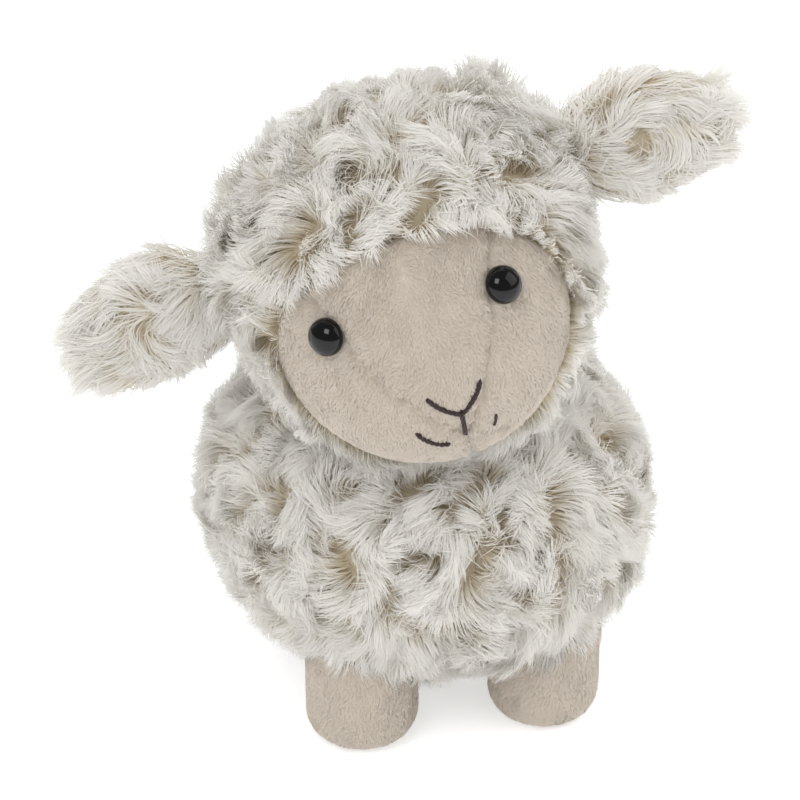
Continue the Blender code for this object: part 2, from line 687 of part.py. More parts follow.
def main():
    clear_scene()
    stance = empty("stance", None, (0, 0, 0))
    body = empty("body_centre", stance, (0, 0, BODY_CENTRE_HEIGHT))
    sockets = list(build_neck(stance))
    for end, along in (("front", LEG_FRONT), ("rear", LEG_REAR)):
        for side, sign in SIDES.items():
            name = f"leg_{end}_{side}"
            leg = empty(f"{name}_pivot", stance, (sign * LEG_SPREAD, along, LEG_PIVOT_HEIGHT))
            build_leg(leg, name)
            sockets.append(leg_socket(leg, name))
    sockets.append(build_tail(body))
    build_body(body, sockets)
    head = empty("head_pivot", stance, HEAD_CENTRE, Euler((0, -HEAD_TILT, HEAD_TURN)))
    grooves = {side: build_ear(head, side, sign) for side, sign in SIDES.items()}
    build_head(head, grooves)
    centre_on_origin(stance)


main()
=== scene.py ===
import math
from collections import namedtuple
from functools import partialmethod

import bmesh
import bpy
import numpy as np
from mathutils import Euler, Matrix, Vector


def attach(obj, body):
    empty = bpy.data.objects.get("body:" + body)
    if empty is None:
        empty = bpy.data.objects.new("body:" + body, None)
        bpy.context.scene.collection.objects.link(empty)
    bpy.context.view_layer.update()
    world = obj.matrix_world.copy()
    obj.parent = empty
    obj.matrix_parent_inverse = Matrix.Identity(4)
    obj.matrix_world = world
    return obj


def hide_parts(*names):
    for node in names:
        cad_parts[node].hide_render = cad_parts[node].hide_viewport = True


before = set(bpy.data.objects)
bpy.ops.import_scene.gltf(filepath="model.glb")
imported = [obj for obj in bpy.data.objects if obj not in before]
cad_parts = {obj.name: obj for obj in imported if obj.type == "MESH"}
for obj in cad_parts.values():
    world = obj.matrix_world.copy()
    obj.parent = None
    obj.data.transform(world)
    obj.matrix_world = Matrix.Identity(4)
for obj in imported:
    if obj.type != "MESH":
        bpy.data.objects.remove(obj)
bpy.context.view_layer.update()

# The camera looks down on the sheep from in front and a little to its right,
# from far enough away that the near ear is hardly larger than the far one.
CAMERA_AIM = Vector((0.0020, -0.0174, 0.0910))
CAMERA_AZIMUTH, CAMERA_ELEVATION = math.radians(-12.5), math.radians(27)
CAMERA_DISTANCE = 0.747
CAMERA_LENS, CAMERA_SENSOR = 120.05, 36
camera = bpy.data.objects.new("camera", bpy.data.cameras.new("camera"))
bpy.context.scene.collection.objects.link(camera)
bpy.context.scene.camera = camera
camera.data.lens, camera.data.sensor_width = CAMERA_LENS, CAMERA_SENSOR
backwards = Vector((
    math.sin(CAMERA_AZIMUTH) * math.cos(CAMERA_ELEVATION),
    -math.cos(CAMERA_AZIMUTH) * math.cos(CAMERA_ELEVATION),
    math.sin(CAMERA_ELEVATION),
))
camera.location = CAMERA_AIM + backwards * CAMERA_DISTANCE
camera.rotation_mode = "QUATERNION"
camera.rotation_quaternion = (-backwards).to_track_quat("-Z", "Y")
bpy.context.scene.view_settings.view_transform = "Standard"


# The room: a white floor that keeps the soft shadow, a white surround, a large soft lamp above
# and to the left of the camera, a weaker one on the other side and one behind the sheep.
class Reading:
    """A shader socket that takes part in sums; each sum adds its own node."""

    def __init__(self, finish, socket):
        self.finish, self.socket = finish, socket

    def sum(self, operation, other, turned=False):
        pair = (other, self) if turned else (self, other)
        return self.finish.node("ShaderNodeMath", {"operation": operation}, dict(enumerate(pair)))

    __add__, __radd__ = partialmethod(sum, "ADD"), partialmethod(sum, "ADD", turned=True)
    __sub__, __rsub__ = partialmethod(sum, "SUBTRACT"), partialmethod(sum, "SUBTRACT", turned=True)
    __mul__, __rmul__ = partialmethod(sum, "MULTIPLY"), partialmethod(sum, "MULTIPLY", turned=True)

    def beside(self, name):
        """Another output of the same node."""
        return Reading(self.finish, self.finish.named(self.socket.node.outputs, name))


class Finish:
    """The surface of one kind of cloth, thread or plastic, put together node by node."""

    def __init__(self, name, plain=(), owner=None):
        self.material = owner or bpy.data.materials.new(name)
        self.material.use_nodes = True
        self.tree = self.material.node_tree
        self.surface = self.tree.nodes["Background" if owner else "Principled BSDF"]
        self.put(self.surface, plain)

    def named(self, sockets, name):
        if isinstance(name, int):
            return sockets[name]
        return next(s for s in sockets if s.identifier == name or (s.name == name and s.enabled))

    def put(self, node, sockets):
        for name, value in dict(sockets).items():
            socket = self.named(node.inputs, name)
            if isinstance(value, Reading):
                self.tree.links.new(value.socket, socket)
            else:
                socket.default_value = value

    def node(self, kind, settings=(), sockets=(), output=0):
        made = self.tree.nodes.new(kind)
        for name, value in dict(settings).items():
            if name == "stops":
                self.set_stops(made.color_ramp, value)
            else:
                setattr(made, name, value)
        self.put(made, sockets)
        return Reading(self, self.named(made.outputs, output))

    def set_stops(self, ramp, stops):
        while len(ramp.elements) < len(stops):
            ramp.elements.new(0.5)
        for element, (place, colour) in zip(ramp.elements, stops):
            element.position, element.color = place, colour

    def show(self, **sockets):
        self.put(self.surface, {name.replace("_", " "): value for name, value in sockets.items()})

    def let_through(self, colour, share):
        """Lets a share of the light pass to the other side, as thin fibres do."""
        behind = self.node("ShaderNodeBsdfTranslucent", (), {"Color": colour})
        front = Reading(self, self.surface.outputs[0])
        both = self.node("ShaderNodeMixShader", (), {"Fac": share, 1: front, 2: behind})
        self.put(self.tree.nodes["Material Output"], {"Surface": both})


def dye(red, green, blue):
    """A colour as it looks on a screen, turned into the light that a surface sends back."""
    return *(((part + 0.055) / 1.055) ** 2.4 for part in (red, green, blue)), 1.0


SURROUND_GREY = 0.91  # what the surround lights the toy with; it is seen as white
MIRRORED_GREY = 0.25  # what glossy plastic mirrors of it
world = bpy.data.worlds.new("surround")
bpy.context.scene.world = world
surround = Finish("surround", owner=world)
rays = surround.node("ShaderNodeLightPath")
seen = rays + rays.beside("Is Transmission Ray")
mirrored = rays.beside("Is Glossy Ray")
strength = seen * (1 - SURROUND_GREY) + SURROUND_GREY - mirrored * (SURROUND_GREY - MIRRORED_GREY)
surround.show(Color=(1, 1, 1, 1), Strength=strength)

FLOOR_SIZE = 8.0
FLOOR_COLOUR = (0.80, 0.80, 0.80, 1)
FLOOR_GLOW = 0.48  # as much as lifts the lit floor to white, and leaves the shadow
FLOOR_BOUNCE = 0.40  # what it adds to the light on the toy's underside
floor_finish = Finish("floor_paper", {"Base Color": FLOOR_COLOUR, "Roughness": 0.9, "Emission Strength": 1.0})
rays = floor_finish.node("ShaderNodeLightPath")
seen = rays + rays.beside("Is Transmission Ray")
floor_finish.show(Emission_Color=seen * (FLOOR_GLOW - FLOOR_BOUNCE) + FLOOR_BOUNCE)
bm = bmesh.new()
bmesh.ops.create_grid(bm, x_segments=1, y_segments=1, size=FLOOR_SIZE / 2)
floor_mesh = bpy.data.meshes.new("floor")
bm.to_mesh(floor_mesh)
bm.free()
floor_mesh.materials.append(floor_finish.material)
floor = bpy.data.objects.new("floor", floor_mesh)
bpy.context.scene.collection.objects.link(floor)

# name, place, side of the square lamp, watts
LAMPS = (
    ("key_lamp", (-0.55, -0.75, 1.05), 0.55, 4.0),
    ("fill_lamp", (0.90, -0.35, 0.80), 1.00, 3.0),
    ("back_lamp", (0.15, 1.10, 1.00), 0.80, 2.7),
)
for name, place, side, power in LAMPS:
    lamp = bpy.data.lights.new(name, "AREA")
    lamp.size, lamp.energy = side, power
    holder = bpy.data.objects.new(name, lamp)
    bpy.context.scene.collection.objects.link(holder)
    holder.location = place
    holder.rotation_euler = (CAMERA_AIM - Vector(place)).to_track_quat("-Z", "Y").to_euler()


# Body cover: two side panels that meet along the back and a belly panel, cut from long-pile
# fur. The pile is brushed into locks that swirl out of many small partings, where the tan
# roots show. Each panel is its backing cloth and its pile, sewn to the others at the seams.
POLES = np.eye(3)
A_MICRON = 1e-6
WELD_GAP = 1e-7  # points that are closer than this are one


def unit(rows, least=1e-12):
    return rows / np.maximum(np.linalg.norm(rows, axis=-1, keepdims=True), least)


def dot(first, second):
    return np.sum(first * second, axis=-1, keepdims=True)


def oval(halves, squareness=2.0, taper_share=0.0, along=0):
    """How far an oval reaches along each way; it is a little fuller towards one end."""
    halves = np.array(halves)

    def reach(ways):
        scaled = ways / halves
        spread = np.ones_like(scaled) + taper_share * unit(scaled)[:, along:along + 1]
        spread[:, along] = 1
        return np.sum(np.abs(scaled / spread) ** squareness, axis=1) ** (-1 / squareness)

    return reach


class Form:
    """A stuffed shape seen from its middle: how far its cloth lies along each way."""

    PROBE = 0.01  # how far apart two ways are where the slope is taken

    def __init__(self, centre, axes, reach):
        self.centre, self.axes, self.reach = np.array(centre), np.array(axes), reach

    def own(self, points):
        """The way to each point in the form's own axes, and its distance."""
        local = (points - self.centre) @ self.axes.T
        return unit(local), np.linalg.norm(local, axis=-1)

    def place(self, ways, height=0.0):
        return self.centre + (ways * (self.reach(ways) + height)[:, None]) @ self.axes

    def slope(self, ways):
        """The outward normal in the form's own axes."""
        aside = unit(np.cross(ways, POLES[np.argmin(np.abs(ways), axis=1)]))
        beside = np.cross(ways, aside)
        ends = [unit(ways + self.PROBE * step) for step in (aside, -aside, beside, -beside)]
        east, west, north, south = (end * self.reach(end)[:, None] for end in ends)
        return unit(np.cross(east - west, north - south))

    def facing(self, points):
        flat = points.reshape(-1, 3)
        return (self.slope(self.own(flat)[0]) @ self.axes).reshape(points.shape)

    def height(self, points):
        ways, far = self.own(points.reshape(-1, 3))
        return (far - self.reach(ways)).reshape(points.shape[:-1])

    def clear(self, points, gap):
        """The points, moved out of the form to stand gap above it or more."""
        flat = points.reshape(-1, 3)
        ways, far = self.own(flat)
        gaps = np.broadcast_to(gap, points.shape[:-1]).reshape(-1)
        wanted = np.maximum(far, self.reach(ways) + gaps)
        return (self.centre + (ways * wanted[:, None]) @ self.axes).reshape(points.shape)


# density is in strands to the square metre, lifts in degrees above the skin at each step
Coat = namedtuple("Coat", "density length width lifts lock_gap "
                          "parting_length parting_reach swirl gather jitter")
FUR_COAT = Coat(
    density=3.8e6, length=0.0150, width=0.00031, lifts=(73, 56, 34, 8),
    lock_gap=0.0055, parting_length=0.0110, parting_reach=0.0090, swirl=1.8, gather=0.38, jitter=0.10,
)
LEAST_HEIGHT_SHARE = 0.18  # of a strand's length, how high its middle stands at least
ARCH_SHARE = 0.72  # of half a wave, how that height rises and falls along the strand
PARTING_SHARES = (0.8, 0.6)  # how large the main and the small partings are
PARTING_LENGTHS, PARTING_SPINS = (0.5, 1.2), (0.1, 0.9)  # least and most
PARTING_FELT = 2.5  # in reaches, how far from its line a parting turns the pile
PARTED_SHARE = 0.45  # of a parting's reach, how far from its line the pile still lies lower
PARTED_LOW_SHARE = 0.22
SWIRL_CURL = math.radians(10)
# Between locks: least and most shares of what the coat gives, and spreads
LOCK_LENGTHS, LOCK_LIFTS, LOCK_GATHERS = (0.82, 1.12), (0.78, 1.1), (0.55, 1.1)
LOCK_CURL_SPREAD, LOCK_TONE_SPREAD, LOCK_EDGE_SPREAD = 7, 0.05, 0.30
# Across a lock: the share at its middle, and what its sides lose of that
LENGTH_ACROSS, LIFT_ACROSS = (1.08, 0.26), (1.05, 0.15)
LOCK_HALF_SHARE, LOCK_ROUNDNESS, GATHER_POWER = 0.6, 0.2, 1.3
# Between the strands of a lock, and for the few that stray from it
STRAND_LENGTHS, STRAND_LIFTS, STRAND_WIDTHS = (0.82, 1.09), (0.93, 1.07), (0.75, 1.25)
STRAND_PLACE_SPREAD, STRAND_TONE_SPREAD, STRAND_ROLL_SPREAD = 0.010, 0.07, 0.12
TONE_ENDS = (0.04, 0.96)
STRAY_SHARE, STRAY_TURN, STRAY_LIFT_SHARE, STRAY_GATHER_SHARE = 0.05, 0.5, 1.2, 0.1
AREA_TRIES, LOCK_TRIES = 4000, 9000
Strands = namedtuple("Strands", "paths tones rolls")


def parting_ways(segments, rings, gap, order, taken=()):
    """Corners of a ball, picked in a mixed order, that keep the gap from each other."""
    turns = np.arange(segments) * math.tau / segments
    drops = np.arange(1, rings) * math.pi / rings
    turns, drops = (grid.ravel() for grid in np.meshgrid(turns, drops))
    corners = np.stack([np.sin(drops) * np.cos(turns), np.sin(drops) * np.sin(turns), np.cos(drops)], axis=1)
    picked = list(taken)
    for corner in np.random.default_rng(order).permutation(corners):
        if all(corner @ other < math.cos(gap) for other in picked):
            picked.append(corner)
    return np.array(picked[len(taken):])


def with_small(main, gap):
    """The main partings, and the small ones that lie between them."""
    return main, parting_ways(segments=48, rings=24, gap=gap, order=8, taken=main)


def spaced(points, gap):
    """The points that are left when no two may be closer than gap."""
    kept = points[:1]
    for point in points[1:]:
        if np.min(np.sum((kept - point) ** 2, axis=1)) > gap * gap:
            kept = np.vstack([kept, point])
    return kept


def nearest(points, centres, batch=4096):
    """Which centre is nearest to each point."""
    found = []
    for part in np.array_split(points, len(points) // batch + 1):
        found.append(np.argmin(np.sum(centres ** 2, axis=1) - 2 * part @ centres.T, axis=1))
    return np.concatenate(found)


def comb(form, starts, lies, lengths, lift_shares, curls, lifts):
    """Paths that leave the skin steeply, lean over along their lie and curl sideways."""
    points, here = [starts], starts
    step = (lengths / len(lifts))[:, None]
    turn, across = np.cos(curls)[:, None], np.sin(curls)[:, None]
    for lift in lifts:
        normals = form.facing(here)
        lies = unit(lies - normals * dot(lies, normals))
        lies = lies * turn + np.cross(normals, lies) * across
        rise = np.radians(lift) * lift_shares[:, None]
        here = here + step * (lies * np.cos(rise) + normals * np.sin(rise))
        points.append(here)
    return np.stack(points, axis=1)


def swirled(draw, form, points, normals, parted, coat, lean):
    """How the pile lies at each point, how it curls, and how much it parts there.

    It swirls away from the lines of the partings, and elsewhere follows the lean.
    """
    lies, curls, opened = lean(points, normals), np.zeros(len(points)), np.zeros(len(points))
    partings = form.place(unit(np.concatenate(parted)))
    shares = np.repeat(PARTING_SHARES[:len(parted)], [len(group) for group in parted])
    for parting, up, share in zip(partings, form.facing(partings), shares):
        spin = draw.uniform(*PARTING_SPINS) * draw.choice((-1, 1))
        line = unit(np.cross(up, draw.normal(size=3)))
        half = share * coat.parting_length / 2 * draw.uniform(*PARTING_LENGTHS)
        reach = share * coat.parting_reach
        near = np.flatnonzero(np.sum((points - parting) ** 2, axis=1) < (half + PARTING_FELT * reach) ** 2)
        out = points[near] - parting
        out = out - line * np.clip(out @ line, -half, half)[:, None]
        far = np.linalg.norm(out, axis=1, keepdims=True) + A_MICRON
        pull = coat.swirl * np.exp(-((far / reach) ** 2))
        lies[near] += pull / far * (out * math.cos(spin) + np.cross(normals[near], out) * math.sin(spin))
        curls[near] += pull[:, 0] * math.copysign(SWIRL_CURL, spin)
        opened[near] = np.maximum(opened[near], np.exp(-((far[:, 0] / (reach * PARTED_SHARE)) ** 2)))
    return unit(lies - normals * dot(lies, normals)), curls, opened


def grow(form, coat, parted, bare, lean, seed, trim=None, neighbours=()):
    """The strands of a form's pile, which parts along lines that start at the parted ways."""
    draw = np.random.default_rng(seed)
    sample = unit(draw.normal(size=(AREA_TRIES, 3)))
    most = np.max(form.reach(sample) ** 2 / dot(form.slope(sample), sample)[:, 0])
    ways = unit(draw.normal(size=(int(4 * math.pi * most * coat.density), 3)))
    area = form.reach(ways) ** 2 / dot(form.slope(ways), ways)[:, 0]
    ways = ways[draw.random(len(ways)) * most < area]
    roots = form.place(ways)
    roots = roots[~bare(roots)]
    locks = spaced(roots[:LOCK_TRIES], coat.lock_gap)
    both = np.concatenate([locks, roots])
    normals = form.facing(both)
    lies, curls, opened = swirled(draw, form, both, normals, parted, coat, lean)
    count = len(locks)
    turned_lies = draw.normal(size=(count, 3)) * coat.jitter
    lengths = coat.length * draw.uniform(*LOCK_LENGTHS, count) * (trim(locks) if trim else 1)
    lift_shares = draw.uniform(*LOCK_LIFTS, count)
    lock_curls = np.radians(draw.normal(0, LOCK_CURL_SPREAD, count))
    gathers = coat.gather * draw.uniform(*LOCK_GATHERS, count)
    lock_tones = draw.normal(0, LOCK_TONE_SPREAD, count)
    guides = comb(form, locks, unit(lies[:count] + turned_lies), lengths, lift_shares,
                  curls[:count] + lock_curls, coat.lifts)
    mine = nearest(roots + draw.normal(size=roots.shape) * coat.lock_gap * LOCK_EDGE_SPREAD, locks)
    stray = draw.random(len(roots)) < STRAY_SHARE
    own_lies = lies[count:] + turned_lies[mine]
    own_lies = own_lies + draw.normal(size=roots.shape) * np.where(stray, STRAY_TURN, coat.jitter)[:, None]
    across = np.cross(normals[:count], lies[:count])[mine]
    aside = np.clip(dot(roots - locks[mine], across)[:, 0] / (LOCK_HALF_SHARE * coat.lock_gap), -1, 1)
    own_lengths = lengths[mine] * (LENGTH_ACROSS[0] - LENGTH_ACROSS[1] * aside ** 2)
    own_lengths *= draw.uniform(*STRAND_LENGTHS, len(roots))
    own_lifts = lift_shares[mine] * (LIFT_ACROSS[0] - LIFT_ACROSS[1] * aside ** 2)
    own_lifts *= draw.uniform(*STRAND_LIFTS, len(roots))
    own_lifts *= np.where(stray, STRAY_LIFT_SHARE, 1) * (1 - PARTED_LOW_SHARE * opened[count:])
    paths = comb(form, roots, own_lies, own_lengths, own_lifts, curls[count:] + lock_curls[mine], coat.lifts)
    along = np.linspace(0, 1, len(coat.lifts) + 1)
    gather = np.where(stray, STRAY_GATHER_SHARE, 1)[:, None] * gathers[mine][:, None] * along ** GATHER_POWER
    paths = paths + (guides[mine] - paths) * gather[:, :, None]
    paths += draw.normal(size=paths.shape) * coat.length * STRAND_PLACE_SPREAD * along[:, None]
    paths = form.clear(paths, coat.length * LEAST_HEIGHT_SHARE * np.sin(along * math.pi * ARCH_SHARE))
    for neighbour, gap in neighbours:
        paths[:, 1:] = neighbour.clear(paths[:, 1:], gap)
    tones = 0.5 + lock_tones[mine] + draw.normal(0, STRAND_TONE_SPREAD, len(roots))
    rolls = draw.normal(0, STRAND_ROLL_SPREAD, len(roots)) - LOCK_ROUNDNESS * aside
    return Strands(paths, np.clip(tones, *TONE_ENDS), rolls)


TONE_HALF_WIDTH = 0.015  # a strand's width in the map that its colour is read from
WIDTH_SHARES, WIDTH_END = (0.9, 1.0, 0.95, 0.8, 0.5), 0.8


def strand_mesh(name, form, coat, strands, mine, seed, ends=(0.01, 0.99)):
    """Each path as a thin leaf that tapers to its tip; U holds its tone and V runs up it."""
    draw = np.random.default_rng(seed)
    paths, tones, rolls = (values[mine] for values in strands)
    count, steps = paths.shape[:2]
    normals = form.facing(paths)
    tangents = unit(np.gradient(paths, axis=1))
    sides = unit(np.cross(normals, tangents))
    faces = np.cross(tangents, sides)
    rolls = rolls[:, None, None]
    sides = sides * np.cos(rolls) + faces * np.sin(rolls)
    places = np.linspace(0, 1, steps)
    shares = np.interp(places, np.linspace(0, WIDTH_END, len(WIDTH_SHARES)), WIDTH_SHARES)
    half = (coat.width / 2 * shares)[None, :, None] * draw.uniform(*STRAND_WIDTHS, count)[:, None, None]
    left, right = paths - sides * half, paths + sides * half
    rows = 2 * steps - 1
    corners = np.empty((count, rows, 3))
    corners[:, 0:-1:2], corners[:, 1::2], corners[:, -1] = left[:, :-1], right[:, :-1], paths[:, -1]
    flat = np.empty((count, rows, 2))
    flat[:, 0:-1:2, 0], flat[:, 1::2, 0] = tones[:, None] - TONE_HALF_WIDTH, tones[:, None] + TONE_HALF_WIDTH
    flat[:, -1, 0] = tones
    flat[:, :, 1] = ends[0] + (ends[1] - ends[0]) * np.repeat(places, 2)[:-1]
    quads = np.array([(2 * k + 1, 2 * k, 2 * k + 2, 2 * k + 3) for k in range(steps - 2)])
    tip = np.array((rows - 2, rows - 3, rows - 1))
    pattern = np.concatenate([quads.ravel(), tip])
    loops = (np.arange(count)[:, None] * rows + pattern).ravel()
    starts = (np.arange(count)[:, None] * len(pattern) + np.arange(steps - 1) * 4).ravel()
    mesh = bpy.data.meshes.new(name)
    mesh.vertices.add(count * rows)
    mesh.loops.add(len(loops))
    mesh.polygons.add(len(starts))
    mesh.vertices.foreach_set("co", corners.astype(np.float32).ravel())
    mesh.loops.foreach_set("vertex_index", loops.astype(np.int32))
    mesh.polygons.foreach_set("loop_start", starts.astype(np.int32))
    mesh.uv_layers.new(name="OFBake")
    mesh.update(calc_edges=True)
    mesh.uv_layers["OFBake"].uv.foreach_set("vector", flat.reshape(-1, 2)[loops].astype(np.float32).ravel())
    return mesh


BACKING_THICKNESS = 0.0010
# Where a panel's middle lies in its map, and what runs across the map and up it
BACKING_MAP = (0.5, 0.02), (1, 0, 0), (0, 0.1, 0)


def welded(node):
    """A copy of a CAD node, with its triangles joined."""
    bm = bmesh.new()
    bm.from_mesh(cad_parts[node].data)
    bmesh.ops.remove_doubles(bm, verts=bm.verts, dist=WELD_GAP)
    return bm


def lay_flat(bm, middle, across, up):
    """Lays a panel out in its map."""
    flat = bm.loops.layers.uv.new("OFBake")
    for face in bm.faces:
        for loop in face.loops:
            place = loop.vert.co
            loop[flat].uv = (middle[0] + place.dot(across), middle[1] + place.dot(up))


def backing(node, form, keep_out=()):
    """The panel's backing cloth: the CAD panel brought down to the foot of its pile."""
    bm = welded(node)
    points = np.array([vertex.co for vertex in bm.verts])
    ways, far = form.own(points)
    near = np.minimum(far, form.reach(ways) + BACKING_THICKNESS)
    points = form.centre + (ways * near[:, None]) @ form.axes
    for neighbour, gap in keep_out:
        points = neighbour.clear(points, gap)
    for vertex, point in zip(bm.verts, points):
        vertex.co = point
    lay_flat(bm, *BACKING_MAP)
    return bm


def fit(name, shape, finish, node, body):
    """Puts a finished shape in place of its CAD node, to move with the body."""
    shape.materials.append(finish.material)
    made = bpy.data.objects.new(name, shape)
    bpy.context.scene.collection.objects.link(made)
    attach(made, body)
    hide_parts(node)
    return made


def dress(name, node, body, finish, base, pile=None):
    """Joins a panel's pile to its cloth and puts it in place of the CAD panel."""
    cloth = bpy.data.meshes.new("cloth")
    base.to_mesh(cloth)
    base.free()
    whole = bmesh.new()
    for part in (pile, cloth):
        if part:
            whole.from_mesh(part)
            bpy.data.meshes.remove(part)
    made = bpy.data.meshes.new(name)
    whole.to_mesh(made)
    whole.free()
    made.shade_smooth()
    fit(name, made, finish, node, body)


FIBRE_TRANSLUCENCY = 0.55
STREAKS_ACROSS, STREAKS_ALONG = 190, 3
# How much the place along a strand, its tone and its streaks lighten it
ALONG_GAIN, TONE_GAIN, STREAK_GAIN = 0.95, 0.20, 0.16


def fur_finish():
    """Off-white pile, tan at the roots, with fine lines along every strand."""
    finish = Finish("fur", {"Roughness": 0.85, "Sheen Weight": 0.15, "Sheen Roughness": 0.6,
                            "Specular IOR Level": 0.25})
    place = finish.node("ShaderNodeUVMap", {"uv_map": "OFBake"})
    tone = finish.node("ShaderNodeSeparateXYZ", (), {"Vector": place})
    along = tone.beside("Y")
    stretched = finish.node("ShaderNodeCombineXYZ", (),
                            {"X": tone * STREAKS_ACROSS, "Y": along * STREAKS_ALONG})
    streak = finish.node("ShaderNodeTexNoise", {"noise_dimensions": "2D"},
                         {"Vector": stretched, "Scale": 1.0, "Detail": 2.0})
    level = along * ALONG_GAIN + (tone - 0.5) * TONE_GAIN + (streak - 0.5) * STREAK_GAIN
    colour = finish.node("ShaderNodeValToRGB", {"stops": (
        (0.00, dye(0.885, 0.842, 0.745)),
        (0.20, dye(0.91, 0.878, 0.81)),
        (0.36, dye(0.943, 0.93, 0.90)),
        (0.55, dye(0.955, 0.95, 0.938)),
        (1.00, dye(0.96, 0.955, 0.945)),
    )}, {"Fac": level})
    finish.show(Base_Color=colour)
    finish.let_through(colour, FIBRE_TRANSLUCENCY)
    return finish


FUR = fur_finish()
BODY_CENTRE = (0.01199, -0.00739, 0.0570)
BODY_SKIN_HALVES = (0.0570, 0.0590, 0.0410)
HEAD_CENTRE = (0.00219, -0.02739, 0.1388)
HEAD_SEAT_RADIUS = 0.0532
LEG_SEAT_RADIUS = 0.0160
LEG_PLACES = {
    "front_left": (0.03859, -0.04239, 0.0240), "front_right": (-0.01461, -0.04239, 0.0240),
    "rear_left": (0.03859, 0.02761, 0.0240), "rear_right": (-0.01461, 0.02761, 0.0240),
}
BELLY_HALF_ANGLE = math.radians(33)
FLOOR_CLEARANCE = 0.0015
LEG_FRINGE_REACH = 0.0100
BODY_LIE, LEG_FRINGE_LIE = np.array((0, 0.06, -0.25)), np.array((0, 0, -2.5))
HEAD_SEAT_GAP, LEG_SEAT_GAP = -0.004, 0.0006
BODY_PARTED = with_small(parting_ways(32, 16, math.radians(19), order=5), math.radians(12))
body_form = Form(BODY_CENTRE, np.eye(3), oval(BODY_SKIN_HALVES, 2.25, 0.04, along=1))
head_seat = Form(HEAD_CENTRE, np.eye(3), oval((HEAD_SEAT_RADIUS,) * 3))
leg_seats = [Form(place, np.eye(3), oval((LEG_SEAT_RADIUS,) * 3)) for place in LEG_PLACES.values()]


def bare_body(points):
    """Where no pile grows: in the seats of the head and the legs."""
    covered = head_seat.height(points) < 0
    for seat in leg_seats:
        covered |= seat.height(points) < 0
    return covered


def body_lean(points, normals):
    """Softly down and back, and straight down over the tops of the legs."""
    above = np.min([seat.height(points) for seat in leg_seats], axis=0)[:, None]
    return BODY_LIE + np.exp(-((above / LEG_FRINGE_REACH) ** 2)) * LEG_FRINGE_LIE


body_parted = [ways * BODY_SKIN_HALVES for ways in BODY_PARTED]
body_neighbours = [(head_seat, HEAD_SEAT_GAP)] + [(seat, LEG_SEAT_GAP) for seat in leg_seats]
body_pile = grow(body_form, FUR_COAT, body_parted, bare_body, body_lean, 11, neighbours=body_neighbours)
body_pile.paths[:, :, 2] = np.maximum(body_pile.paths[:, :, 2], FLOOR_CLEARANCE)
belly_out, belly_up = math.cos(BELLY_HALF_ANGLE), math.sin(BELLY_HALF_ANGLE)
belly_ways = np.array([(belly_out, 0, belly_up), (-belly_out, 0, belly_up)])
offsets = body_pile.paths[:, 0] - BODY_CENTRE
beyond = offsets @ belly_ways.T > 0
BODY_PANELS = {
    "body_side_left": (offsets[:, 0] > 0) & beyond[:, 0],
    "body_side_right": (offsets[:, 0] <= 0) & beyond[:, 1],
}
BODY_PANELS["belly_panel"] = ~(BODY_PANELS["body_side_left"] | BODY_PANELS["body_side_right"])
for seed, (node, mine) in enumerate(BODY_PANELS.items(), 21):
    pile = strand_mesh(node, body_form, FUR_COAT, body_pile, mine, seed)
    cloth = backing(node, body_form, [(seat, 0) for seat in [head_seat, *leg_seats]])
    dress(f"{node}_fur", node, "body", FUR, cloth, pile)


# Hood: two halves of the same fur that meet over the crown and under the chin, sewn to the
# edge of the face. The pile hangs over the brow, is clipped shorter along the edge, and stands
# longer at the ears.
HEAD_TILT, HEAD_TURN = math.radians(16.5), math.radians(-8.8)
HEAD_SKIN_RADIUS = 0.0430
SNOUT_REACH = 0.0150
SNOUT_DROP, SNOUT_SPREAD = math.radians(28), math.radians(39)
SNOUT_WIDENING_SHARE = 0.80
THROAT_RISE, THROAT_FADE = math.radians(-60), math.radians(16)
FACE_DROP = math.radians(9)
FACE_SLOPES = (math.tan(math.radians(54)), math.tan(math.radians(40)))
NECK_BARE_HEIGHT = 0.0040
FACE_AHEAD = np.array((0, -math.cos(FACE_DROP), -math.sin(FACE_DROP)))
FACE_UPRIGHT = np.array((0, -math.sin(FACE_DROP), math.cos(FACE_DROP)))
FACE_HEIGHT, FACE_TUCK = 0.0020, 0.0005  # its cloth above the filling, and how deep pile may reach in
LEAST_AHEAD, FAR_OFF = 1e-3, 99.0
HEAD_AXES = np.array(Euler((0, -HEAD_TILT, HEAD_TURN)).to_matrix()).T


def smooth_step(share):
    share = np.clip(share, 0, 1)
    return share * share * (3 - 2 * share)


def head_skin(ways):
    """A ball with the muzzle's swell, which ends at the throat."""
    ahead = np.array((0, -math.cos(SNOUT_DROP), -math.sin(SNOUT_DROP)))
    squeezed = unit(ways * (SNOUT_WIDENING_SHARE, 1, 1))
    apart = np.arccos(np.clip(squeezed @ ahead, -1, 1))
    throat = smooth_step((np.arcsin(np.clip(ways[:, 2], -1, 1)) - THROAT_RISE) / THROAT_FADE)
    return HEAD_SKIN_RADIUS + SNOUT_REACH * throat * np.exp(-((apart / SNOUT_SPREAD) ** 2))


def face_share(ways):
    """0 in the middle of the face, 1 along its edge."""
    forward, upright = ways @ FACE_AHEAD, ways @ FACE_UPRIGHT
    ahead = np.maximum(forward, LEAST_AHEAD)
    share = np.hypot(ways[:, 0] / ahead / FACE_SLOPES[0], upright / ahead / FACE_SLOPES[1])
    return np.where(forward > LEAST_AHEAD, share, FAR_OFF)


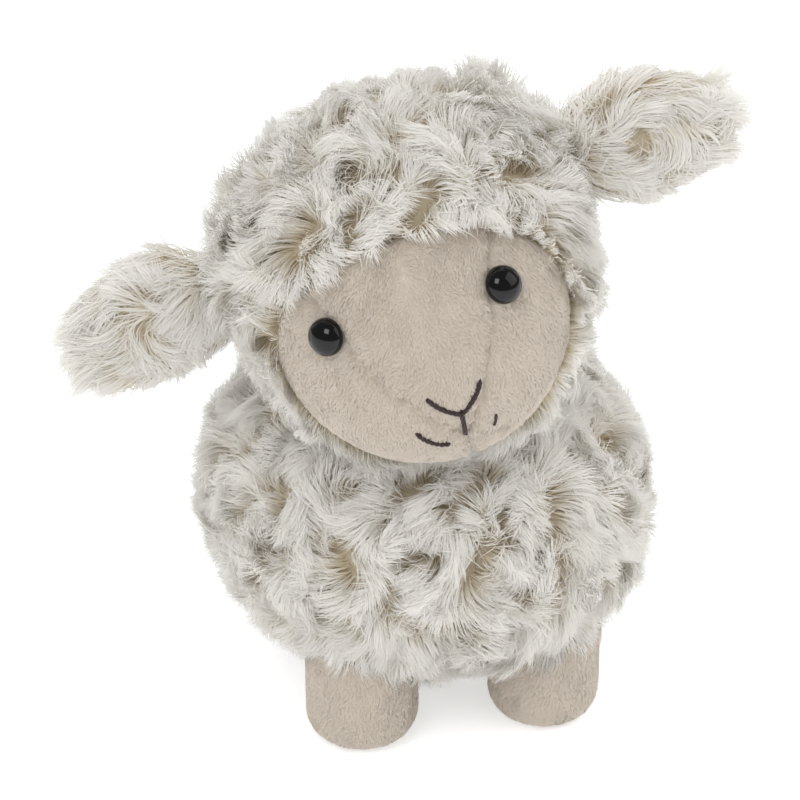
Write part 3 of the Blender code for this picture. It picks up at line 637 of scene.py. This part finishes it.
head_form = Form(HEAD_CENTRE, HEAD_AXES, head_skin)
face_axis = FACE_AHEAD @ HEAD_AXES
HOOD_HUB = 0.03  # how far ahead of the head's middle the pile spreads from
HOOD_LIE = np.array((0, 0.05, -0.20))
EDGE_END, EDGE_REACH = 1.75, 0.6  # where the combing round the face ends, in shares of the face
ALONG_EDGE, OFF_THE_SIDES, OVER_THE_BROW = 0.6, 0.8, 1.9
BROW_START, BROW_REACH = 0.15, 0.5
EDGE_LENGTH_SHARE, EDGE_LENGTH_REACH = 0.75, 0.4
EAR_FRINGE_REACH = 0.0170
EAR_FRINGE_RISE = 0.0130  # its middle above the ear's root
EAR_FRINGE_UPWARD, EAR_FRINGE_PULL, EAR_FRINGE_GAIN = 0.35, 3.0, 0.9
# Each ear's root, and the way from there to its tip
EAR_ROOTS = {
    "left": ((0.04722, -0.03032, 0.16828), (0.97468, -0.15089, 0.16505)),
    "right": ((-0.0493, -0.01538, 0.12788), (-0.89925, 0.13921, -0.41469)),
}
# Where the crown's pile stands lower or higher than the rest: the way there, how far round it
# that goes, and the share of a strand's length that it loses or gains
CROWN_PILE = (
    (np.array((-0.45, 0.40, 0.80)), math.radians(24), -0.15),
    (np.array((0.09, 0.34, 0.94)), math.radians(14), -0.55),
    (np.array((0.56, 0.30, 0.77)), math.radians(25), 0.48),
)


def bare_hood(points):
    """Where no pile grows: on the face and where the head sits in the body."""
    return (face_share(head_form.own(points)[0]) < 1.0) | (body_form.height(points) < NECK_BARE_HEIGHT)


def hood_lean(points, normals):
    """Over the face from above, away from it at its sides, and softly down elsewhere."""
    share = face_share(head_form.own(points)[0])[:, None]
    near = np.clip((EDGE_END - share) / EDGE_REACH, 0, 1)
    away = unit(points - head_form.centre - face_axis * HOOD_HUB)
    edge = np.cross(normals, away)
    edge = unit(edge) * np.where(edge[:, 2:3] < 0, 1, -1)
    over = smooth_step((away[:, 2:3] - BROW_START) / BROW_REACH)
    return near * (ALONG_EDGE * edge + (OFF_THE_SIDES - OVER_THE_BROW * over) * away) + (1 - near) * HOOD_LIE


def ear_nearness(points, side):
    """1 just above the root of the ear, falling off all round it."""
    above = np.array(EAR_ROOTS[side][0]) + (0, 0, EAR_FRINGE_RISE)
    return np.exp(-(np.sum((points - above) ** 2, axis=1) / EAR_FRINGE_REACH ** 2))


def hood_flow(points, normals):
    """The hood's lean, and round the roots of the ears out over them."""
    flow = hood_lean(points, normals)
    for side, (pivot, tip) in EAR_ROOTS.items():
        outwards = np.array(tip) + (0, 0, EAR_FRINGE_UPWARD)
        flow = flow + EAR_FRINGE_PULL * ear_nearness(points, side)[:, None] * outwards
    return flow


def hood_trim(locks):
    """Shorter along the face, longer round the roots of the ears, and by places on the crown."""
    share = face_share(head_form.own(locks)[0])
    long = 1 + EAR_FRINGE_GAIN * sum(ear_nearness(locks, side) for side in EAR_ROOTS)
    for way, reach, gain in CROWN_PILE:
        apart = np.arccos(np.clip(unit(locks - head_form.centre) @ unit(way), -1, 1))
        long = long + gain * np.exp(-((apart / reach) ** 2))
    inwards = np.clip((share - 1) / EDGE_LENGTH_REACH, 0, 1)
    return long * (EDGE_LENGTH_SHARE + (1 - EDGE_LENGTH_SHARE) * inwards)


face_form = Form(HEAD_CENTRE, HEAD_AXES, lambda ways: head_skin(ways) + FACE_HEIGHT)
HEAD_PARTED = with_small(parting_ways(40, 20, math.radians(20), order=6), math.radians(14.5))
hood_pile = grow(head_form, FUR_COAT, HEAD_PARTED, bare_hood, hood_flow, 12, hood_trim,
                 neighbours=[(face_form, -FACE_TUCK)])
to_the_left = (hood_pile.paths[:, 0] - head_form.centre) @ HEAD_AXES[0] > 0
for seed, (side, mine) in enumerate((("left", to_the_left), ("right", ~to_the_left)), 31):
    node = f"hood_{side}"
    pile = strand_mesh(node, head_form, FUR_COAT, hood_pile, mine, seed)
    dress(f"{node}_fur", node, "head", FUR, backing(node, head_form), pile)


# Ears and tail: flat lobes, each of two fur panels sewn face to face and turned, held by the
# seam at their root. The pile lies along them and hangs over their edges.
Lobe = namedtuple("Lobe", "pivot tip broad length root half_width half_thickness clipped")
LOBE_SQUARENESS, LOBE_TAPER_SHARE = 2.5, -0.05  # fuller at the root than at the tip
LOBE_PILE, LOBE_SIDE_SHARE = 0.0045, 0.8
LOBE_BARE_HEIGHT = 0.004
TO_THE_TIP, OUTWARDS, HANG = 1.4, 0.25, np.array((0, 0, -0.30))
EAR_SIZES = (0.0430, 0.0070, 0.0175, 0.0080)
LOBES = {
    "ear_left": Lobe(*EAR_ROOTS["left"], (-0.12125, 0.26357, 0.95699), *EAR_SIZES, 0.45),
    "ear_right": Lobe(*EAR_ROOTS["right"], (-0.36063, 0.30063, 0.88293), *EAR_SIZES, -0.35),
    "tail": Lobe((0.01199, 0.059, 0.076), (0, 0.91355, -0.40674), (-1, 0, 0),
                 0.0290, 0.0058, 0.0120, 0.0062, None),
}
LOBE_COAT = FUR_COAT._replace(density=3.6e6, length=0.0135, lifts=(46, 26, 8, -4), parting_length=0.0090,
                              parting_reach=0.0060, swirl=1.1)
TAIL_COAT = LOBE_COAT._replace(lifts=(64, 50, 34, 18), swirl=1.5)  # brushed up
LOBE_PARTED = [parting_ways(24, 12, math.radians(30), order=2)]
EDGE_CLIP, EDGE_CLIP_REACH = 0.6, 0.6  # how much shorter an ear's lower edge is, and how far along it


def grow_lobe(name, panels, seed, root_form, coat):
    lobe = LOBES[name]
    tip, broad = np.array(lobe.tip), np.array(lobe.broad)
    axes = np.array((tip, np.cross(broad, tip), broad))
    middle = np.array(lobe.pivot) + tip * (lobe.length - lobe.root) / 2
    halves = ((lobe.length + lobe.root) / 2 - LOBE_PILE, lobe.half_thickness - LOBE_PILE,
              lobe.half_width - LOBE_PILE * LOBE_SIDE_SHARE)
    form = Form(middle, axes, oval(halves, LOBE_SQUARENESS, LOBE_TAPER_SHARE, along=0))
    lean = lambda points, normals: tip * TO_THE_TIP + OUTWARDS * unit(points - middle) + HANG
    rooted = lambda points: root_form.height(points) < LOBE_BARE_HEIGHT

    def edge_trim(locks):
        along, _, up = ((locks - middle) @ axes.T / halves).T
        return 1 - EDGE_CLIP * np.clip(-up, 0, 1) * np.exp(-(((along - lobe.clipped) / EDGE_CLIP_REACH) ** 2))

    trim = None if lobe.clipped is None else edge_trim
    strands = grow(form, coat, LOBE_PARTED, rooted, lean, seed, trim)
    ahead = (strands.paths[:, 0] - middle) @ axes[1] < 0
    for number, (node, mine) in enumerate(zip(panels, (ahead, ~ahead)), seed + 1):
        pile = strand_mesh(node, form, coat, strands, mine, number)
        dress(f"{node}_fur", node, name, FUR, backing(node, form), pile)


grow_lobe("ear_left", ("ear_left_front", "ear_left_back"), 41, head_form, LOBE_COAT)
grow_lobe("ear_right", ("ear_right_back", "ear_right_front"), 44, head_form, LOBE_COAT)
grow_lobe("tail", ("tail_upper", "tail_lower"), 47, body_form, TAIL_COAT)


# Face: a forehead panel that narrows to the nose and a cheek on each side of it, cut from
# short-nap cloth and sewn edge to edge. The nap lies down the face in small patches, and
# the seams sink into it. The cloth is drawn in a little under each eye.
NAP_CLOTH_THICKNESS = 0.0018
FACE_MAP = (0.5, 0.25), (0.45, 0, 0), (0, 0, 0.22)
NOSE_TURN = math.radians(4)
BROW_TURN, BROW_RISE = math.radians(24), math.radians(6)
EYE_TURN, EYE_RISE = math.radians(27.3), math.radians(6)
SEAM_DEPTH, SEAM_REACH = 0.0011, 0.0009
PUCKER_DEPTH, PUCKER_PITCH, PUCKER_REACH = 0.00035, 0.0030, 0.0028
DIMPLE_DEPTH, DIMPLE_REACH = 0.0009, 0.0075
RIM_START, RIM_REACH, RIM_DROP, RIM_BARE = 0.94, 0.06, 0.0012, 0.985
EYE_BARE_RADIUS = 0.0046
SEAM_BARE_WIDTH = 0.0005
FACE_FINENESS = 7  # how often the ball that the face is cut from is divided


def direction(turn, rise):
    """A way turn round from straight ahead towards the left side, and rise above level."""
    return np.array((math.sin(turn) * math.cos(rise), -math.cos(turn) * math.cos(rise), math.sin(rise)))


nose = direction(NOSE_TURN, -SNOUT_DROP)
SIDES = {"left": 1, "right": -1}
brows = {side: direction(sign * BROW_TURN, BROW_RISE) for side, sign in SIDES.items()}
eye_ways = {side: direction(sign * EYE_TURN, EYE_RISE) for side, sign in SIDES.items()}
brow_planes = {side: unit(np.cross(nose, brow)) for side, brow in brows.items()}
for side, sign in SIDES.items():
    brow_planes[side] *= sign * np.sign(brow_planes[side][0])
chin_plane = np.array((math.cos(NOSE_TURN), math.sin(NOSE_TURN), 0))
seam_lines = [(brow_planes[side], brows[side]) for side in brows] + [(chin_plane, np.array((0, 0, -1.0)))]


def face_skin(ways):
    """The face of the nap cloth, with its sunken seams and the dimples under the eyes."""
    reach = head_skin(ways) + FACE_HEIGHT
    for plane, end in seam_lines:
        along = end - nose * (end @ nose)
        apart = np.where(ways @ along > 0, ways @ plane, FAR_OFF) * HEAD_SKIN_RADIUS
        wave = np.sin((ways @ unit(along)) * HEAD_SKIN_RADIUS / PUCKER_PITCH * math.tau)
        reach = reach - SEAM_DEPTH * np.exp(-((apart / SEAM_REACH) ** 2))
        reach = reach + PUCKER_DEPTH * wave * np.exp(-((apart / PUCKER_REACH) ** 2))
    for way in eye_ways.values():
        apart = np.arccos(np.clip(ways @ way, -1, 1)) * reach
        reach = reach - DIMPLE_DEPTH * np.exp(-((apart / DIMPLE_REACH) ** 2))
    rim = np.clip((face_share(ways) - RIM_START) / RIM_REACH, 0, 1)
    return reach - RIM_DROP * rim ** 2


def face_patch(planes):
    """One panel of the face as cut: the part of the oval on the far side of each plane."""
    bm = bmesh.new()
    bmesh.ops.create_icosphere(bm, subdivisions=FACE_FINENESS, radius=1)
    centres = np.array([face.calc_center_median() for face in bm.faces])
    outside = face_share(unit(centres)) > 1.0
    bmesh.ops.delete(bm, geom=[face for face, gone in zip(bm.faces, outside) if gone], context="FACES")
    for vertex in bm.verts:
        if vertex.is_boundary:
            way = np.array(vertex.co)
            ahead = FACE_AHEAD * (way @ FACE_AHEAD)
            vertex.co = ahead + (way - ahead) / face_share(way[None])[0]
    for plane in planes:
        bmesh.ops.bisect_plane(bm, geom=[*bm.verts, *bm.edges, *bm.faces], plane_co=(0, 0, 0),
                               plane_no=plane, clear_outer=True, dist=A_MICRON)
    return bm


def nap_panel(planes):
    bm = face_patch(planes)
    lay_flat(bm, *FACE_MAP)
    made = bmesh.ops.extrude_face_region(bm, geom=bm.faces[:], use_keep_orig=True)
    tops = {item for item in made["geom"] if isinstance(item, bmesh.types.BMVert)}
    ways = {vertex: unit(np.array(vertex.co)) for vertex in bm.verts}
    places = face_cloth.place(np.array(list(ways.values())))
    for vertex, place in zip(ways, places):
        inwards = (face_cloth.centre - place) / np.linalg.norm(face_cloth.centre - place)
        vertex.co = place if vertex in tops else place + inwards * NAP_CLOTH_THICKNESS
    bmesh.ops.recalc_face_normals(bm, faces=bm.faces)
    return bm


face_cloth = Form(HEAD_CENTRE, HEAD_AXES, face_skin)
NAP_COAT = Coat(
    density=6.4e6, length=0.0015, width=0.00030, lifts=(34, 12), lock_gap=0.0030, parting_length=0.0200,
    parting_reach=0.0120, swirl=0.3, gather=0.1, jitter=0.16,
)
NAP_ENDS = (0.52, 0.98)  # where its strands begin and end in their map
CLOTH_SHARE = 0.5  # of the map, from below, which the ground cloth takes up
# The nap's roots and the ground cloth under them are painted darker: painted shade at the foot of the nap.
NAP_ROOT_SHADE_GAIN, NAP_TONE_GAIN, GROUND_MOTTLE_AND_SHADE_GAIN = 1.5, 0.7, 0.5
NAP_HUB, NAP_LIE, NAP_OUTWARDS = 0.05, np.array((0, -0.2, -0.8)), 0.5


def nap_finish():
    """Short beige nap over its knitted ground, painted darker towards its roots and on the ground as shade at
    the foot of the nap.
    """
    finish = Finish("nap_cloth", {"Roughness": 0.8, "Sheen Weight": 0.35, "Sheen Roughness": 0.5,
                                  "Specular IOR Level": 0.2})
    place = finish.node("ShaderNodeUVMap", {"uv_map": "OFBake"})
    tone = finish.node("ShaderNodeSeparateXYZ", (), {"Vector": place})
    up = tone.beside("Y")
    ground = finish.node("ShaderNodeTexNoise", {"noise_dimensions": "2D"},
                         {"Vector": place, "Scale": 160.0, "Detail": 3.0})
    on_strand = finish.node("ShaderNodeMath", {"operation": "GREATER_THAN"}, {0: up, 1: CLOTH_SHARE})
    # Painted shade: each nap strand darkens towards its root, and the mottled ground cloth takes the darker
    # half of the ramp.
    strand_level = (up - CLOTH_SHARE) * NAP_ROOT_SHADE_GAIN + (tone - 0.5) * NAP_TONE_GAIN
    level = on_strand * strand_level + (1 - on_strand) * (ground * GROUND_MOTTLE_AND_SHADE_GAIN)
    colour = finish.node("ShaderNodeValToRGB", {"stops": (
        (0.00, dye(0.754, 0.708, 0.650)),
        (0.45, dye(0.783, 0.742, 0.690)),
        (1.00, dye(0.813, 0.777, 0.735)),
    )}, {"Fac": level})
    finish.show(Base_Color=colour)
    return finish


NAP = nap_finish()


def bare_face(points):
    ways = face_cloth.own(points)[0]
    bare = face_share(ways) > RIM_BARE
    for plane, end in seam_lines:
        along = end - nose * (end @ nose)
        bare |= (ways @ along > 0) & (np.abs(ways @ plane) * HEAD_SKIN_RADIUS < SEAM_BARE_WIDTH / 2)
    for way in eye_ways.values():
        bare |= np.arccos(np.clip(ways @ way, -1, 1)) * (HEAD_SKIN_RADIUS + FACE_HEIGHT) < EYE_BARE_RADIUS
    return bare


def face_lean(points, normals):
    """Down the face and outwards from its middle."""
    return NAP_LIE + NAP_OUTWARDS * unit(points - face_cloth.centre - face_axis * NAP_HUB)


face_nap = grow(face_cloth, NAP_COAT, HEAD_PARTED, bare_face, face_lean, 13)
roots = face_cloth.own(face_nap.paths[:, 0])[0]
over = {side: roots @ plane > 0 for side, plane in brow_planes.items()}
leftwards = roots @ chin_plane > 0
left_way, right_way = brow_planes["left"], brow_planes["right"]
FACE_PANELS = {
    "forehead_panel": (~over["left"] & ~over["right"], (left_way, right_way)),
    "cheek_left": (over["left"] & leftwards, (-left_way, -chin_plane)),
    "cheek_right": (over["right"] & ~leftwards, (-right_way, chin_plane)),
}
for seed, (node, (mine, planes)) in enumerate(FACE_PANELS.items(), 51):
    nap = strand_mesh(node, face_cloth, NAP_COAT, face_nap, mine, seed, NAP_ENDS)
    dress(f"{node}_cloth", node, "head", NAP, nap_panel(planes), nap)


# Legs: round-topped sleeves of the same nap cloth, each closed by a flat sole sewn inside its
# hem. The nap lies downwards.
LEG_RADIUS = 0.0156
LEG_PIVOT_HEIGHT = 0.0240
LEG_RIM_ANGLE = math.radians(50)
TOE_RADIUS = 0.0080
HEM_ANGLE = math.radians(68)
SOLE_THICKNESS = 0.0020
LEG_TURNS = 56
LEG_MAP = (0.5, 0.24), (10.8, 3.6, 0), (0, 1.68, 4.2)
LEG_TOP_UP, LEG_SOLE_UP = 0.62, -0.905  # past these the sleeve is inside the body or on the sole
LEG_LIE = (0, 0, -1.2)
SOLE_GAP = 0.0004  # inside the hem
SOLE_TOP_ROUNDING, SOLE_ROUNDING = (0.0006, 0.0008), (0.0005, 0.0004)


def leg_side(inset, steps=14):
    """One side of the sleeve as (out, up) from the middle of the ball, rim to hem."""
    ball_turns = np.linspace(math.pi / 2 - LEG_RIM_ANGLE, 0, steps)
    toe_turns = np.linspace(0, -HEM_ANGLE, steps)
    radius, toe = LEG_RADIUS - inset, TOE_RADIUS - inset
    ball_part = np.stack([radius * np.cos(ball_turns), radius * np.sin(ball_turns)], axis=1)
    middle = (LEG_RADIUS - TOE_RADIUS, TOE_RADIUS - LEG_PIVOT_HEIGHT)
    toe_part = np.stack([middle[0] + toe * np.cos(toe_turns), middle[1] + toe * np.sin(toe_turns)], axis=1)
    shin = np.linspace(ball_part[-1], toe_part[0], steps)[1:-1]
    return np.concatenate([ball_part, shin, toe_part])


def turned(profile, turns, closed):
    """A shape turned on a lathe from its profile, as (out, up)."""
    bm = bmesh.new()
    rim = [bm.verts.new((out, 0, up)) for out, up in profile]
    edges = [bm.edges.new(pair) for pair in zip(rim, rim[1:])]
    if closed:
        edges.append(bm.edges.new((rim[-1], rim[0])))
    bmesh.ops.spin(bm, geom=[*rim, *edges], cent=(0, 0, 0), axis=(0, 0, 1), angle=math.tau,
                   steps=turns, use_merge=True)
    bmesh.ops.remove_doubles(bm, verts=bm.verts, dist=A_MICRON)
    bmesh.ops.recalc_face_normals(bm, faces=bm.faces)
    return bm


def leg_reach(ways, steps=12, sole_share=0.95):
    """How far the sleeve reaches along each way from the middle of its ball."""
    outline = leg_side(0)
    crown = np.array([(LEG_RADIUS * math.sin(turn), LEG_RADIUS * math.cos(turn))
                      for turn in np.linspace(0, LEG_RIM_ANGLE, steps)[:-1]])
    base = np.array([(share * outline[-1][0], outline[-1][1]) for share in np.linspace(sole_share, 0, steps)])
    outline = np.concatenate([crown, outline, base])
    turns = np.arctan2(outline[:, 0], outline[:, 1])
    return np.interp(np.arccos(np.clip(ways[:, 2], -1, 1)), turns, np.hypot(outline[:, 0], outline[:, 1]))


outer, inner = leg_side(0), leg_side(NAP_CLOTH_THICKNESS)
sole_rim, sole_top = outer[-1][0] - SOLE_GAP, SOLE_THICKNESS - LEG_PIVOT_HEIGHT
SOLE_SIDE = [
    (0, sole_top), (sole_rim - SOLE_TOP_ROUNDING[0], sole_top), (sole_rim, sole_top - SOLE_TOP_ROUNDING[1]),
    (sole_rim, SOLE_ROUNDING[1] - LEG_PIVOT_HEIGHT), (sole_rim - SOLE_ROUNDING[0], -LEG_PIVOT_HEIGHT),
    (0, -LEG_PIVOT_HEIGHT),
]
for seed, (place, centre) in enumerate(LEG_PLACES.items()):
    name = f"leg_{place}"
    form = Form(centre, np.eye(3), leg_reach)
    up = lambda points: form.own(points)[0][:, 2]
    hidden = lambda points: (up(points) > LEG_TOP_UP) | (up(points) < LEG_SOLE_UP)
    downwards = lambda points, normals: np.tile(LEG_LIE, (len(points), 1))
    strands = grow(form, NAP_COAT, LOBE_PARTED, hidden, downwards, 60 + seed)
    nap = strand_mesh(name, form, NAP_COAT, strands, slice(None), 70 + seed, NAP_ENDS)
    sleeve = turned(np.concatenate([outer, inner[::-1]]), LEG_TURNS, True)
    sole = turned(SOLE_SIDE, LEG_TURNS, False)
    for cloth in (sleeve, sole):
        lay_flat(cloth, *LEG_MAP)
        bmesh.ops.translate(cloth, vec=centre, verts=cloth.verts)
    dress(f"{name}_sleeve_cloth", f"{name}_sleeve", name, NAP, sleeve, nap)
    dress(f"{name}_sole_cloth", f"{name}_sole", name, NAP, sole)


# Eyes: black plastic domes, each moulded with a shank that goes through the cheek into a
# lock washer behind the cloth.
EYE_RADIUS, EYE_DOME_HEIGHT, EYE_RIM_HEIGHT = 0.0050, 0.0046, 0.0006
SHANK_RADIUS, SHANK_LENGTH, EYE_EDGE = 0.0016, 0.0080, 0.0002
EYE_TURNS, EYE_STEPS = 64, 20
EYE_SEATS = {
    "left": ((0.01569, -0.07452, 0.15046), (0.2992, -0.81187, 0.50135)),
    "right": ((-0.02793, -0.06776, 0.13739), (-0.73358, -0.65199, 0.19178)),
}


def plastic_finish(name, colour, roughness):
    """Moulded plastic, with the faint unevenness of its mould."""
    finish = Finish(name, {"Base Color": colour, "Specular IOR Level": 0.42})
    place = finish.node("ShaderNodeTexCoord", (), (), "Object")
    cloud = finish.node("ShaderNodeTexNoise", (), {"Vector": place, "Scale": 420.0, "Detail": 2.0})
    finish.show(Roughness=roughness + cloud * 0.06)
    return finish


EYE_PLASTIC = plastic_finish("eye_plastic", dye(0.02, 0.018, 0.018), 0.05)
WASHER_PLASTIC = plastic_finish("washer_plastic", dye(0.88, 0.88, 0.86), 0.40)


def show_piece(name, bm, node, body, finish):
    mesh = bpy.data.meshes.new(name)
    bm.to_mesh(mesh)
    bm.free()
    mesh.shade_smooth()
    return fit(name, mesh, finish, node, body)


for side, (seat, out) in EYE_SEATS.items():
    rise = EYE_DOME_HEIGHT - EYE_RIM_HEIGHT
    dome = [(EYE_RADIUS * math.cos(turn), EYE_RIM_HEIGHT + rise * math.sin(turn))
            for turn in np.linspace(math.pi / 2, 0, EYE_STEPS)]
    profile = [(0, EYE_DOME_HEIGHT), *dome[1:], (EYE_RADIUS, EYE_EDGE), (EYE_RADIUS - EYE_EDGE, 0),
               (SHANK_RADIUS, 0), (SHANK_RADIUS, -SHANK_LENGTH), (0, -SHANK_LENGTH)]
    eye = turned(profile, EYE_TURNS, False)
    stand = Vector(out).to_track_quat("Z", "Y").to_matrix().to_4x4()
    bmesh.ops.transform(eye, matrix=Matrix.Translation(seat) @ stand, verts=eye.verts)
    show_piece(f"eye_{side}_dome", eye, f"eye_{side}", "head", EYE_PLASTIC)
    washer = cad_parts[f"eye_washer_{side}"]
    washer.data.materials.clear()
    washer.data.materials.append(WASHER_PLASTIC.material)


# Embroidery: a Y-shaped nose, a line down from it and a short smile on each side, sewn through
# the face in dark brown thread of three plies.
STITCH_TURNS = {
    "nose_stitch_left": ((-0.5, -20.9), (3.2, -18.2), (5.5, -16.0), (7.4, -13.2)),
    "nose_stitch_right": ((0.5, -20.9), (-3.2, -18.2), (-5.5, -16.0), (-7.4, -13.2)),
    "mouth_stitch_left": ((7.8, -29.0), (8.5, -27.2), (9.0, -25.3)),
    "mouth_stitch_right": ((-5.2, -29.6), (-8.4, -28.5), (-11.2, -26.1), (-13.2, -22.9)),
    "philtrum_stitch": ((0.1, -19.4), (-0.3, -24.5), (-0.6, -27.6)),
}
PLY_RADIUS, PLY_OFFSET, PLY_PITCH = 0.00038, 0.00034, 0.0042
STITCH_HEIGHT = 0.0005  # the thread's middle above the cloth
STITCH_DIP, STITCH_DIP_SHARE = 0.0016, 0.08  # how deep its ends go in, and over how much of it
SLIM_SHARES = {"mouth_stitch_left": 0.62}  # a stitch that is pulled tighter than the others
STITCH_STEPS = 14


def thread_finish():
    """Dark brown thread with a soft shine and fine fibres along it."""
    finish = Finish("thread", {"Sheen Weight": 0.2, "Specular IOR Level": 0.3})
    place = finish.node("ShaderNodeTexCoord", (), (), "Object")
    fibre = finish.node("ShaderNodeTexNoise", (), {"Vector": place, "Scale": 2600.0, "Detail": 2.0})
    colour = finish.node("ShaderNodeValToRGB", {"stops": (
        (0.3, dye(0.12, 0.08, 0.075)), (0.7, dye(0.25, 0.18, 0.165)))}, {"Fac": fibre})
    bump = finish.node("ShaderNodeBump", (), {"Height": fibre, "Strength": 0.5, "Distance": 0.0001})
    finish.show(Base_Color=colour, Roughness=0.5 + fibre * 0.25, Normal=bump)
    return finish


THREAD = thread_finish()


def smooth_route(places, steps):
    """Points on a smooth line through the places."""
    places = np.array(places, float)
    ends = np.vstack([2 * places[0] - places[1], places, 2 * places[-1] - places[-2]])
    route = []
    for before, start, end, after in zip(ends, ends[1:], ends[2:], ends[3:]):
        for share in np.arange(steps) / steps:
            route.append(0.5 * (2 * start + (end - before) * share
                                + (2 * before - 5 * start + 4 * end - after) * share ** 2
                                + (3 * start - before - 3 * end + after) * share ** 3))
    return np.array([*route, places[-1]])


def stitch(node, turns):
    """Three plies twisted round the stitched line, whose ends dip into the cloth."""
    slim = SLIM_SHARES.get(node, 1)
    turns_in = smooth_route(turns, STITCH_STEPS)
    ways = np.array([direction(NOSE_TURN + turn, rise) for turn, rise in np.radians(turns_in)])
    share = np.linspace(0, 1, len(ways))
    dip = STITCH_DIP * np.maximum(0, 1 - np.minimum(share, 1 - share) / STITCH_DIP_SHARE) ** 2
    reach = head_skin(ways) + FACE_HEIGHT + STITCH_HEIGHT - dip
    line = face_cloth.centre + (ways * reach[:, None]) @ face_cloth.axes
    normals = face_cloth.facing(line)
    tangents = unit(np.gradient(line, axis=0))
    sides = np.cross(normals, tangents)
    far = np.concatenate([[0], np.cumsum(np.linalg.norm(np.diff(line, axis=0), axis=1))])
    curve = bpy.data.curves.new(f"{node}_thread", "CURVE")
    curve.dimensions, curve.bevel_depth, curve.bevel_resolution = "3D", PLY_RADIUS * slim, 2
    curve.use_fill_caps = True
    for ply in range(3):
        turn = (far / PLY_PITCH * math.tau + ply * math.tau / 3)[:, None]
        plies = line + PLY_OFFSET * slim * (sides * np.cos(turn) + normals * np.sin(turn))
        spline = curve.splines.new("POLY")
        spline.points.add(len(plies) - 1)
        spline.points.foreach_set("co", np.column_stack([plies, np.ones(len(plies))]).ravel())
    fit(f"{node}_thread", curve, THREAD, node, "head")


for node, turns in STITCH_TURNS.items():
    stitch(node, turns)


# Filling: loose white fibre in the body, the head and the legs, and a firmer pad of it at the
# neck. It is pushed in through a gap left in the belly seam, and bulges in soft tufts.
FILLING_BODIES = {"body_stuffing": "body", "head_stuffing": "head", "neck_pad": "neck"}
FILLING_BODIES |= {f"leg_{place}_stuffing": f"leg_{place}" for place in LEG_PLACES}
TUFT_DEPTH = 0.0004


def filling_finish():
    """Crimped white fibres, matted together."""
    finish = Finish("fibre_fill", {"Roughness": 0.95, "Sheen Weight": 0.3, "Specular IOR Level": 0.2})
    place = finish.node("ShaderNodeTexCoord", (), (), "Object")
    mat = finish.node("ShaderNodeTexNoise", (),
                      {"Vector": place, "Scale": 900.0, "Detail": 5.0, "Distortion": 2.0})
    tuft = finish.node("ShaderNodeTexNoise", (), {"Vector": place, "Scale": 160.0, "Detail": 2.0})
    colour = finish.node("ShaderNodeValToRGB", {"stops": (
        (0.3, dye(0.84, 0.84, 0.82)), (0.7, dye(0.95, 0.95, 0.94)))}, {"Fac": mat * 0.6 + tuft * 0.4})
    bump = finish.node("ShaderNodeBump", (), {"Height": mat + tuft, "Strength": 0.8, "Distance": 0.0008})
    finish.show(Base_Color=colour, Normal=bump)
    return finish


FILLING = filling_finish()
for node, body in FILLING_BODIES.items():
    bm = welded(node)
    bmesh.ops.subdivide_edges(bm, edges=bm.edges, cuts=1, use_grid_fill=True)
    draw = np.random.default_rng(90)
    for vertex, depth in zip(bm.verts, draw.random(len(bm.verts)) * TUFT_DEPTH):
        vertex.co -= vertex.normal * depth
    filling = show_piece(f"{node}_fibre", bm, node, body, FILLING)
